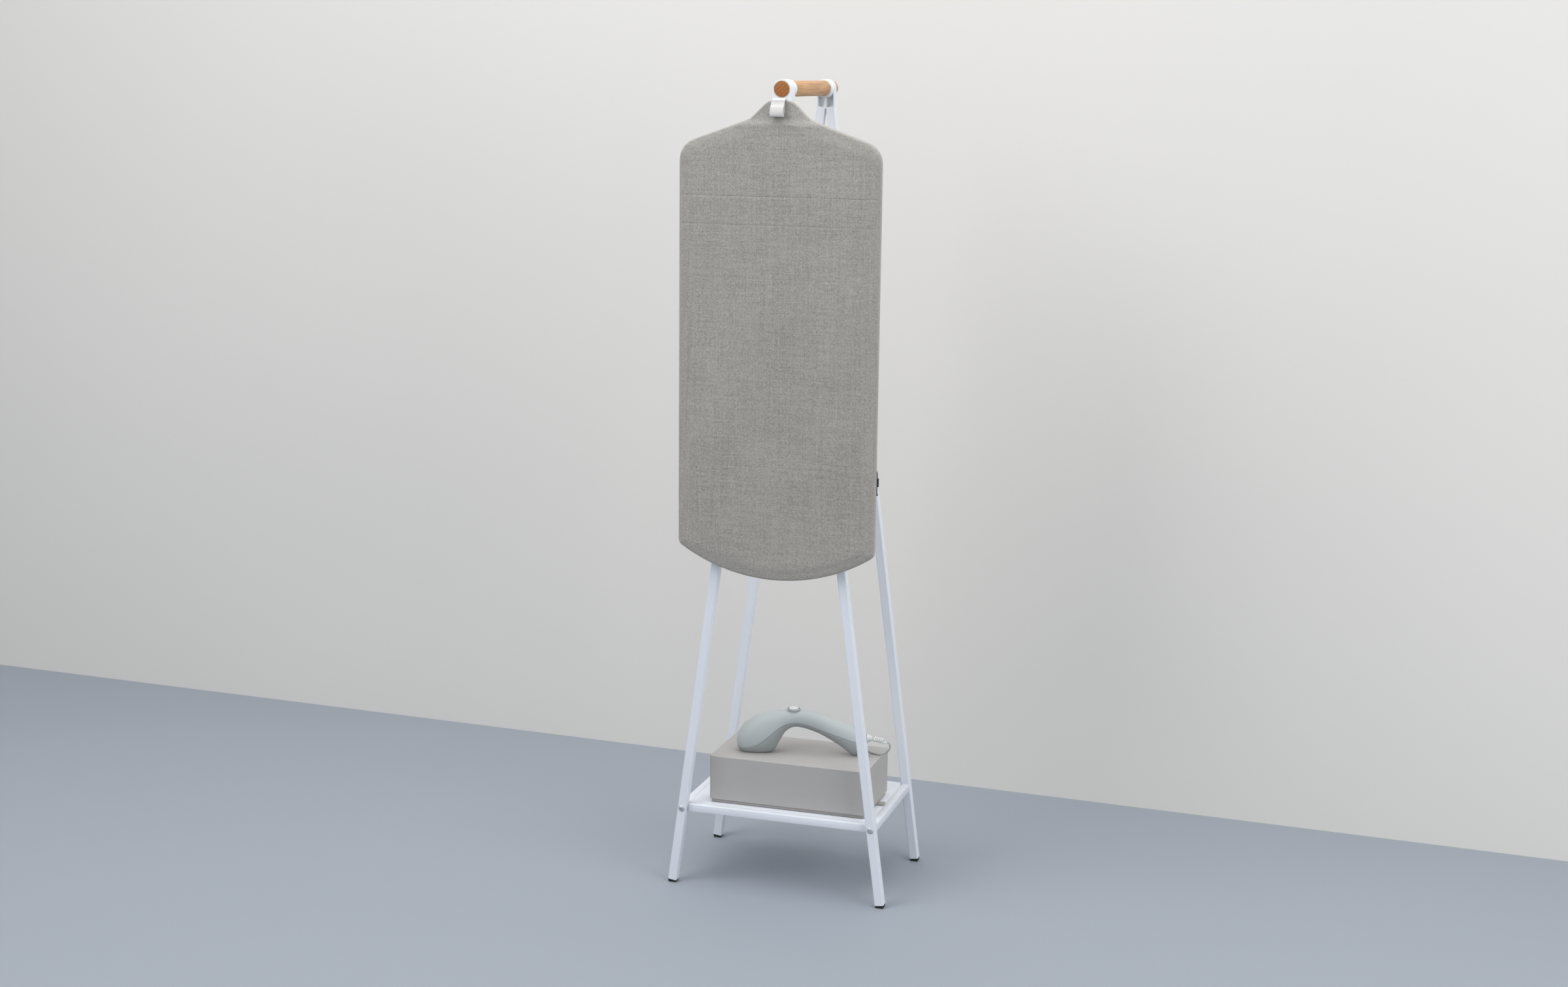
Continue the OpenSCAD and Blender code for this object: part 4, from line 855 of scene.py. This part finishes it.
def swelled(made, free, cap):
    """Blows the free points of a closed pad up a little with a cloth simulation, and caps their way."""
    rest = [v.co.copy() for v in made.data.vertices]
    held = made.vertex_groups.new(name="held")
    held.add([i for i in range(len(rest)) if i not in free], 1.0, "REPLACE")
    cloth = made.modifiers.new("Cloth", "CLOTH")
    for key, value in {
            "quality": 4, "mass": 0.25, "tension_stiffness": 12, "compression_stiffness": 12,
            "bending_stiffness": 0.3, "use_pressure": True, "uniform_pressure_force": 4,
            "vertex_group_mass": "held"}.items():
        setattr(cloth.settings, key, value)
    cloth.settings.effector_weights.gravity = 0
    cloth.collision_settings.use_collision = False
    frames = 20
    cloth.point_cache.frame_start, cloth.point_cache.frame_end = 1, frames
    scene = bpy.context.scene
    for step in range(1, frames + 1):
        scene.frame_set(step)
    shaped = made.evaluated_get(bpy.context.evaluated_depsgraph_get())
    moved = [v.co.copy() for v in shaped.data.vertices]
    made.modifiers.clear()
    made.vertex_groups.clear()
    scene.frame_set(1)
    for vertex, before, after in zip(made.data.vertices, rest, moved):
        way = after - before
        vertex.co = before + (way if way.length < cap else way * cap / way.length)


def cloth_section(front, back):
    """Way out and depth of the cloth, as it turns over the board's edge and is drawn in behind."""
    turn = [math.radians(x) for x in (20, 42, 66, 90)]
    return ([(EDGE_BEND * math.sin(a), front + EDGE_BEND * (1 - math.cos(a))) for a in turn]
            + [(EDGE_BEND + out, back + way) for out, way in HEM])


def wrinkled(x, z, crease):
    """How far waves and fold lines take a point of the front back, in metres."""
    # Width and height of the waves, their slice of the noise, and their depth
    waves = ((85, 120, 0.0, 0.45), (34, 60, 4.0, 0.18))
    back = -MM * sum(noise.noise(Vector((x / w, part, z / h))) * deep for w, h, part, deep in waves)
    # The row of points on a fold line dips, its neighbours follow, and the next ones rise a little
    for at, share in CREASES:
        away = abs(z - at)
        if away < 3.5:
            fade = 0.55 + 0.6 * noise.noise(Vector((x / 60, at, 1.0)))
            dip = 1.0 if away < 0.5 else 0.25 if away < 2 else -0.2
            back += crease * share * max(fade, 0.1) * dip
    return back


class STEAMSTAND_OT_board(Operator):
    """Padded board with its melange cover drawn round the back"""
    bl_idname = "steamstand.board"
    bl_label = "Padded board"

    def execute(self, context):
        finish = look().board_finish
        low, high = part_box("board_cover")
        front, back = low.y / MM + CROWN, high.y / MM
        grid = pad_grid(EDGE_BEND)
        wide, tall = len(grid), len(grid[0])
        verts = [Vector((p.x, front, p.y)) for column in grid for p in column]
        on_front = len(verts)
        faces = [(c * tall + r, (c + 1) * tall + r, (c + 1) * tall + r + 1, c * tall + r + 1)
                 for c in range(wide - 1) for r in range(tall - 1)]
        loop = rim_of(wide, tall)
        count = len(loop)
        rim = [verts[i] for i in loop]
        out = ways_out(rim)
        # Gathers of the hem, about 13 mm wide
        gathers = [0.5 + 0.9 * noise.noise(Vector((p.x, p.z, 3.0)) / 13.0) for p in rim]
        # First ring of the section on the back, and the rings of the gathered hem
        on_back, hem_from, hem_to = 6, 7, 13
        # The cloth lies flat under the hanger's plate
        plate_half, plate_low = 22, -130
        before = loop
        for index, (reach, y) in enumerate(cloth_section(front, back)):
            ring = list(range(len(verts), len(verts) + count))
            for i in range(count):
                point = rim[i] + out[i] * reach
                depth = y
                if hem_from <= index < hem_to:
                    depth += 0.7 * gathers[i] * (1 if index > hem_from else 0.5)
                if index >= on_back and abs(point.x) < plate_half and point.z > plate_low:
                    depth = min(depth, back + 0.05) - 0.2
                verts.append(Vector((point.x, depth, point.z)))
            faces += [(before[k], ring[k], ring[(k + 1) % count], before[(k + 1) % count])
                      for k in range(count)]
            before = ring
        # The inside of the back is closed by strips from side to side
        middle = (wide - 1) // 2
        for k in range(count // 2):
            quad = [before[(middle + j) % count] for j in (k, k + 1, -k - 1, -k)]
            faces.append(tuple(dict.fromkeys(quad)))
        made = outward(piece("padded_board", [Vector((v.x, v.y, v.z + BAR_Z)) * MM for v in verts], faces,
                             melange_cloth()))
        points = made.data.vertices
        swelled(made, set(range(on_front + count)), finish.swell)
        for i in range(on_front):
            points[i].co.y += wrinkled(verts[i].x, verts[i].z, finish.crease)
        # The neck lies back, and the rounded edge goes with it
        edge_rings, neck_half, neck_low = 4, 90, -90
        for i in range(on_front + edge_rings * count):
            if abs(verts[i].x) < neck_half and verts[i].z > neck_low:
                share = max(0, 1 - (verts[i].y - front) / EDGE_BEND)
                points[i].co.y += neck_step(verts[i].x, verts[i].z) * share * MM
        fine = made.modifiers.new("Fine", "SUBSURF")
        fine.levels = fine.render_levels = 1
        settle(made)
        dress(made, "board_cover", "board_padding")
        return {"FINISHED"}


def tab_route():
    """Middle line (depth, height) of the webbing: over the neck, down, and up again as an open loop."""
    low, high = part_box("pull_tab")
    near, rear, top, foot = (c / MM for c in (low.y, high.y, high.z, low.z))
    hang = near + 3.2
    return [Vector(p) for p in catmull([
        (rear - 0.8, top - 3.8), (rear - 1.4, top - 1.5), (rear - 4.5, top - 0.8), (hang + 2, top - 1.8),
        (hang, top - 6), (hang, top - 18), (hang - 0.2, foot + 9), (hang - 1.9, foot + 2.6),
        (hang - 5, foot + 0.8), (hang - 8, foot + 3), (hang - 8.8, foot + 9), (hang - 7.2, foot + 17),
        (hang - 4.2, top - 12), (hang - 2.4, top - 6.5), (hang - 1.8, top - 3)], 14)]


class STEAMSTAND_OT_tab(Operator):
    """Ribbed webbing tab that pulls the board off the bar"""
    bl_idname = "steamstand.tab"
    bl_label = "Pull tab"

    def execute(self, context):
        path = tab_route()
        high, last = path[0].y, len(path) - 1
        # Place across the webbing and share of its thickness there
        across = [(-TAB_HALF, 0.5), (0.5 - TAB_HALF, 0.9), (2 - TAB_HALF, 1), (0, 1)]
        across += [(-x, s) for x, s in reversed(across[:-1])]
        # Ribs of the weave run across the webbing
        rib_spacing, rib_rise, sunk = 2.2, 0.2, 0.12
        rings = []
        run = 0.0
        for i, point in enumerate(path):
            ahead = (path[min(i + 1, last)] - path[max(i - 1, 0)]).normalized()
            run += (point - path[i - 1]).length if i else 0
            rise = TAB_THICK / 2 + rib_rise * abs(math.sin(math.pi * run / rib_spacing)) - sunk
            normal = Vector((-ahead.y, ahead.x))
            ring = [(x, point + normal * rise * s) for x, s in across]
            ring += [(x, point - normal * rise * s) for x, s in reversed(across)]
            rings.append([Vector((x - TAB_LEAN * max(high - p.y, 0), p.x, p.y)) * MM for x, p in ring])
        made = outward(piece("webbing_tab", *capped(rings), yarn(
            "cotton_webbing", look().board_finish.webbing, 0.0009)))
        dress(crisp(made, 50), "pull_tab")
        return {"FINISHED"}


class STEAMSTAND_OT_stitches(Operator):
    """Stitches of the cover's hem behind the board, and of the tab's end"""
    bl_idname = "steamstand.stitches"
    bl_label = "Stitches"

    def execute(self, context):
        # A row 13 mm from the edge, on the cloth behind, left out at the hanger's plate
        from_edge, proud, spacing, plate_half, plate_low = 13, 1.9, 5, 30, -140
        grid = pad_grid(EDGE_BEND)
        points = [Vector((p.x, 0, p.y)) for column in grid for p in column]
        rim = [points[i] for i in rim_of(len(grid), len(grid[0]))]
        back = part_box("board_cover")[1].y / MM + proud
        drawn_in = [p + way * (EDGE_BEND - from_edge) for p, way in zip(rim, ways_out(rim))]
        spots = []
        last = drawn_in[0]
        for p in drawn_in[1:]:
            if (p - last).length > spacing:
                if abs(p.x) >= plate_half or p.z <= plate_low:
                    spots.append((Vector((p.x, back, p.z + BAR_Z)) * MM, p - last, 1.0))
                last = p
        # A row of nine shorter ones across the tab
        path = tab_route()
        end = path[-12]
        for k in range(-4, 5):
            x = k * 2.7 - TAB_LEAN * (path[0].y - end.y)
            spots.append((Vector((x, end.x - TAB_THICK / 2, end.y)) * MM, Vector((1, 0, 0)), 0.6))
        made = repeated("stitches", spots, "stitch", {
            "Length": 3.4 * MM, "Thickness": 0.9 * MM, "Unevenness": 0.15},
            yarn("polyester_thread", look().board_finish.thread_tone, 0.0006))
        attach(made, "board")
        return {"FINISHED"}


class STEAMSTAND_OT_drawstring(Operator):
    """Drawstring of the cover with its knot, running through the cord lock"""
    bl_idname = "steamstand.drawstring"
    bl_label = "Drawstring"

    def execute(self, context):
        low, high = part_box("drawstring")
        lock_low, lock_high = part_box("cord_lock")
        at = (lock_low + lock_high) / 2
        foot, top = low.z + KNOT_MID * MM, high.z
        path = [Vector(p) for p in catmull([
            (at.x - 0.003, low.y + 0.0012, top - 0.001), (at.x - 0.0024, low.y + 0.0022, top - 0.002),
            (at.x - 0.001, at.y - 0.0006, top - 0.005), (at.x, at.y, top - 0.01),
            (at.x, at.y, at.z + 0.006), (at.x, at.y, at.z - 0.006), (at.x, at.y, foot)], 8)]
        braid = yarn("black_braid", srgb("#232325"), 0.0007)
        made = tube("drawstring_tail", path, STRING / 2 * MM, 12, braid)
        shape = bmesh.new()
        shape.from_mesh(made.data)
        knot = bmesh.ops.create_icosphere(shape, subdivisions=3, radius=KNOT * MM)
        # Nine slanting ridges stand for the turns of the knot
        for vertex in knot["verts"]:
            ripple = 1 + 0.08 * math.sin(9 * math.atan2(vertex.co.y, vertex.co.x) + 900 * vertex.co.z)
            vertex.co = vertex.co * ripple + Vector((at.x, at.y, foot))
        for face in shape.faces:
            face.smooth = True
        shape.to_mesh(made.data)
        shape.free()
        dress(made, "drawstring")
        return {"FINISHED"}


class STEAMSTAND_OT_stand(Operator):
    """Legs, feet, shelf, brackets, bar and hanger, with all fasteners and the board's small parts"""
    bl_idname = "steamstand.stand"
    bl_label = "Stand"

    def execute(self, context):
        finish = look().stand_finish
        coat = powder_coat()
        white = moulded("white_moulding", finish.moulding, 0.45, 0.0011, 0.00003, 0.03)
        zinc = zinc_plate()
        black = rubber("black_rubber", "#1d1d1f")
        # Rounding of the edges
        bracket_edge, foot_edge, bar_edge, plate_edge = 0.0006, 0.0008, 0.0007, 0.0007
        corners = ("front_left", "front_right", "rear_left", "rear_right")
        paint(["leg_" + corner for corner in corners], coat)
        for side in ("front", "rear", "left", "right"):
            eased("shelf_rail_" + side, "painted_shelf_rail_" + side, finish.edge, coat)
        eased("shelf_panel", "painted_shelf_panel", finish.edge / 4, coat)
        for side in ("front", "rear"):
            eased("top_bracket_" + side, "moulded_top_bracket_" + side, bracket_edge, white)
        for corner in corners:
            eased("foot_" + corner, "rubber_foot_" + corner, foot_edge, black)
        eased("carry_bar", "beech_bar", bar_edge, beech(), 3)
        paint(["bracket_screws", "shelf_bolts", "shelf_bushes", "hanger_screws", "base_screws"], zinc)
        paint(["hanger_sleeve"], white)
        eased("hanger_plate", "moulded_hanger_plate", plate_edge, white)
        paint(["board_core"], fibreboard())
        paint(["board_bumpers", "base_feet"], black)
        paint(["cord_lock"], moulded("black_acetal", srgb("#1e1e20"), 0.4, 0.0008, 0.00002))
        return {"FINISHED"}


class STEAMSTAND_OT_steamer(Operator):
    """Steamer box with its plinth, filler, inlet and the parts inside"""
    bl_idname = "steamstand.steamer"
    bl_label = "Steamer"

    def execute(self, context):
        finish = look().steamer_finish
        cover = moulded("matt_abs_cover", finish.cover, 0.62, 0.001, 0.00005, 0.04)
        plinth = moulded("matt_abs_plinth", finish.plinth, 0.65, 0.001, 0.00005, 0.04)
        dark = moulded("black_polyamide", srgb("#222325"), 0.5, 0.0008, 0.00004)
        low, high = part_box("base_cover")
        middle, half = (low + high) / 2 / MM, (high - low) / 2 / MM
        top, rear = high.z / MM, high.y / MM
        # Way in and height of the rings: down inside, out under the wall, up outside and over the top edge
        levels = [(COVER_WALL, top - COVER_WALL), (COVER_WALL, COVER_LOW), (0, COVER_LOW),
                  (0, COVER_LOW + 0.4), (0, top - COVER_BEND - 0.4)]
        levels += [(COVER_BEND * (1 - math.cos(a)), top - COVER_BEND + COVER_BEND * math.sin(a))
                   for a in (math.pi / 2 * k / 5 for k in range(6))]
        levels += [(COVER_BEND + 0.5, top)]
        rings = [round_rectangle(half.x - d, half.y - d, COVER_CORNER - d / 2, 8, middle.x, middle.y, z)
                 for d, z in levels]
        box = outward(piece("steamer_cover", *capped(rings), cover))
        # Holes for the filler, the mains inlet and the cord's gland, with 0.1 mm of room all round
        filler_radius, inlet_wide, inlet_tall, gland_radius, gland_half, deep = 17.1, 15.1, 12.1, 4.1, 6, 5
        filler, inlet = (sum(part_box(node), Vector()) / 2 / MM for node in ("filler_cap", "mains_inlet"))
        cut(box, "filler_hole", *turned([(filler_radius, -deep), (filler_radius, deep)],
                                        rearward((filler.x, rear, filler.z))))
        cut(box, "inlet_hole", [
            Vector((inlet.x + x, rear + y, inlet.z + z)) * MM
            for x in (-inlet_wide, inlet_wide) for y in (-deep, deep) for z in (-inlet_tall, inlet_tall)],
            BLOCK)
        cut(box, "gland_hole", *turned([(gland_radius, -deep), (gland_radius, deep)],
                                       upright((GLAND_MOUTH[0] - gland_half, GLAND_MOUTH[1], 0))))
        dress(crisp(box, 50), "base_cover")
        # Rounding of the edges
        plinth_edge, cap_edge, inlet_edge = 0.0006, 0.0008, 0.0005
        eased("base_plinth", "steamer_plinth", plinth_edge, plinth)
        paint(["filler_neck"], cover)
        eased("filler_cap", "moulded_filler_cap", cap_edge, cover)
        eased("mains_inlet", "moulded_inlet", inlet_edge, dark)
        paint(["pump", "button_switch"], dark)
        paint(["water_tank"], moulded("natural_polypropylene", srgb("#d5dadc"), 0.35, 0.003, 0.00003))
        paint(["control_board"], moulded("green_laminate", srgb("#2f5a3d"), 0.35, 0.0015, 0.00004, 0.15))
        paint(["water_hoses"], moulded("silicone_hose", srgb("#d0d4d6"), 0.4, 0.002, 0.00002))
        return {"FINISHED"}


def section_point(section, angle, wall):
    """Point of a cross section at an angle from its top, drawn in by a wall."""
    top, low = Vector((section[0], 0, section[1])), Vector((section[2], 0, section[3]))
    tall = (top - low).length / 2
    return ((top + low) / 2 + (top - low) / 2 * math.cos(angle) * max(tall - wall, tall / 3) / tall
            + Vector((0, math.sin(angle) * max(section[4] - wall, section[4] / 3), 0)))


def handset_shell(name, upper, material):
    """One half of the handset: a lofted wall with its edge rounded along the seam."""
    sections = [(section, 0.0) for section in catmull(STATIONS, 8)]
    if not upper:
        # The lower shell is in two lengths, and a groove shows where they meet
        at = next(i for i, (section, groove) in enumerate(sections) if section[0] > JOINT_U)
        before, after = sections[at - 1][0], sections[at][0]
        sections[at:at] = [
            (tuple(a + (b - a) * (JOINT_U + step - before[0]) / (after[0] - before[0])
                   for a, b in zip(before, after)), groove)
            for step, groove in ((-0.8, 0), (-0.35, 0.9), (0.35, 0.9), (0.8, 0))]
    sides = 36 if upper else 22
    lip = look().steamer_finish.seam / MM
    depth = [lip, lip * 0.3, 0] + [0] * (sides - 6) + [0, lip * 0.3, lip]
    rings = []
    for section, groove in sections:
        seam = math.acos(-section[5])
        tall = math.hypot(section[0] - section[2], section[1] - section[3]) / 2
        gap = SEAM_GAP / max(tall, section[4])
        turn = lip / max((tall + section[4]) / 2, 4)
        first, last = (-seam + gap, seam - gap) if upper else (seam + gap, 2 * math.pi - seam - gap)
        angles = [first + turn * t for t in (0, 0.3, 1)]
        angles += [first + turn + (last - first - 2 * turn) * k / (sides - 5) for k in range(1, sides - 5)]
        angles += [last - turn * t for t in (1, 0.3, 0)]
        ring = [section_point(section, a, max(d, groove)) for a, d in zip(angles, depth)]
        ring += [section_point(section, a, SHELL_WALL) for a in reversed(angles)]
        rings.append([hand(*p) for p in ring])
    count = len(rings[0])
    faces = strips(len(rings), count)
    for start in (0, (len(rings) - 1) * count):
        faces += [(start + k, start + k + 1, start + count - 2 - k, start + count - 1 - k)
                  for k in range(count // 2 - 1)]
    made = outward(piece(name, [v for ring in rings for v in ring], faces, material))
    # Flat cuts below: at the sole, where the steam plate sits, and just above the steamer's top
    ends, far, sole_end, sole, rest = 200, 60, -50, 2.6, 0.3
    cut(made, "sole_cut", *block((-ends, -far, -far), (sole_end, far, sole)))
    cut(made, "rest_cut", *block((sole_end - 10, -far, -far), (ends, far, rest)))
    if upper:
        cut(made, "boss_cut", *turned([
            (9.06, 60), (9.06, 82.8), (9.46, 84.8), (10.16, 86.6), (11.26, 88.5), (12.56, 90.3),
            (13.66, 91.9), (14.1, 92.8), (14.1, 110)], upright((BUTTON_U, 0, 0))))
    # The hole for the sleeve's root
    tail_hole, tail_deep = 6.8, 14
    cut(made, "tail_cut", *turned([(tail_hole, 0), (tail_hole, 30)],
                                  lengthwise((TAIL_END - tail_deep, 0, TAIL_MID))))
    return crisp(made, 38)


class STEAMSTAND_OT_handset(Operator):
    """Handset: two lofted shells with a seam, the button in its bowl, the sole and the cord's sleeve"""
    bl_idname = "steamstand.handset"
    bl_label = "Handset"

    def execute(self, context):
        finish = look().steamer_finish
        satin = moulded("satin_abs_handset", finish.handset, 0.48, 0.0009, 0.00003, 0.03)
        # The underside material is a darker copy of the handset's, painted shade of the downward faces; the
        # gland wears it too
        under = moulded("satin_abs_shaded_underside", finish.under, 0.5, 0.0009, 0.00003, 0.03)
        pale = moulded("pale_elastomer", finish.curls, 0.5, 0.0012, 0.00003)
        dress(handset_shell("handset_top_half", True, satin), "handset_upper_shell")
        dress(handset_shell("handset_bottom_half", False, under), "handset_lower_shell")
        stand_at = upright((BUTTON_U, 0, BOSS_TOP))
        bowl = piece("button_bowl", *turned([
            (3.1, -3.9), (11.0, -3.9), (11.6, -3.6), (11.7, -1.2), (11.9, -0.4), (12.4, 0), (13.2, -0.1),
            (13.8, -0.5), (13.95, -1.0), (13.6, -1.9), (12.5, -3.5), (11.2, -5.3), (10.1, -7.2), (9.4, -9),
            (9.0, -11), (9.0, -17.8), (7.2, -17.8), (7.2, -5.9), (3.1, -5.9)], stand_at, True), satin)
        dress(crisp(outward(bowl), 50), "button_boss")
        # A dark rubber ring at the floor of the gap between the bowl and the button, painted shade of that
        # gap: its radius, half thickness, half height and middle
        ring, thick, tall, sunk = 11.05, 0.6, 1.3, -1.5
        gap_shade = piece("button_gap_shade", *turned([
            (ring + thick * math.cos(a), sunk + tall * math.sin(a)) for a in around(12)], stand_at, True),
            rubber("button_gap_shade_rubber", "#3a3c3e"))
        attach(outward(gap_shade), "handset")
        button = piece("dished_button", *turned([
            (NEAR_AXIS, -7.8), (3, -7.8), (3, -2), (10, -2), (10.2, -1.8), (10.2, 0), (10, 0.5), (9.5, 0.76),
            (8.8, 0.8), (7.5, 0.55), (5, 0.15), (2.5, -0.05), (NEAR_AXIS, -0.1)], stand_at),
            moulded("pale_abs_button", finish.button, 0.42, 0.0009, 0.00002, 0.02))
        dress(crisp(outward(button), 50), "steam_button")
        sleeve = piece("cord_sleeve", *turned([
            (NEAR_AXIS, -6), (6.5, -6), (6.5, 0.2), (8.6, 0.2), (9, 0.6), (9, 1.6), (8.6, 2), (7.2, 2.5),
            (6.9, 3), (5.4, 8.4), (5, SLEEVE), (NEAR_AXIS, SLEEVE)],
            lengthwise((TAIL_END, 0, TAIL_MID))), pale)
        root, tip = hand(TAIL_END, 0, TAIL_MID), hand(TAIL_END + SLEEVE, 0, TAIL_MID)
        # Three rings stiffen the sleeve, each narrower than the one before it
        rings = repeated("sleeve_rings", [
            (root.lerp(tip, x / SLEEVE), tip - root, 6.95 - 0.28 * (x - 3)) for x in (3.9, 5.5, 7.1)], "ring",
            {"Length": MM, "Thickness": 0.1 * MM, "Unevenness": 0.0}, pale)
        dress(crisp(joined(outward(sleeve), rings), 50), "strain_relief")
        eased("cord_gland", "moulded_gland", 0.001, under)
        paint(["steam_plate", "steam_chamber"], aluminium())
        return {"FINISHED"}


class STEAMSTAND_PT_panel(Panel):
    """Lists the operators and the finishes"""
    bl_idname = "STEAMSTAND_PT_panel"
    bl_label = "Steaming Stand"
    bl_space_type = "VIEW_3D"
    bl_region_type = "UI"
    bl_category = "Steaming Stand"

    def draw(self, context):
        for operator in OPERATORS:
            self.layout.operator(operator.bl_idname)
        for name, group in FINISHES:
            box = self.layout.box()
            for key in group.__annotations__:
                box.prop(getattr(context.scene, name), key)


FINISHES = [
    ("stand_finish", StandFinish), ("board_finish", BoardFinish), ("steamer_finish", SteamerFinish),
    ("stage_finish", StageFinish),
]
OPERATORS = [
    STEAMSTAND_OT_stage, STEAMSTAND_OT_cord, STEAMSTAND_OT_board, STEAMSTAND_OT_tab, STEAMSTAND_OT_stitches,
    STEAMSTAND_OT_drawstring, STEAMSTAND_OT_stand, STEAMSTAND_OT_steamer, STEAMSTAND_OT_handset,
]


def register():
    """Registers the finishes, the operators and the panel."""
    for name, group in FINISHES:
        bpy.utils.register_class(group)
        setattr(bpy.types.Scene, name, PointerProperty(type=group))
    for kind in OPERATORS + [STEAMSTAND_PT_panel]:
        bpy.utils.register_class(kind)


def unregister():
    """Takes back what register() did."""
    for kind in reversed(OPERATORS + [STEAMSTAND_PT_panel]):
        bpy.utils.unregister_class(kind)
    for name, group in reversed(FINISHES):
        delattr(bpy.types.Scene, name)
        bpy.utils.unregister_class(group)


def main():
    """Builds all pieces."""
    register()
    bpy.ops.steamstand.stage()
    bpy.ops.steamstand.cord()
    bpy.ops.steamstand.board()
    bpy.ops.steamstand.tab()
    bpy.ops.steamstand.stitches()
    bpy.ops.steamstand.drawstring()
    bpy.ops.steamstand.stand()
    bpy.ops.steamstand.steamer()
    bpy.ops.steamstand.handset()


if __name__ == "__main__":
    main()
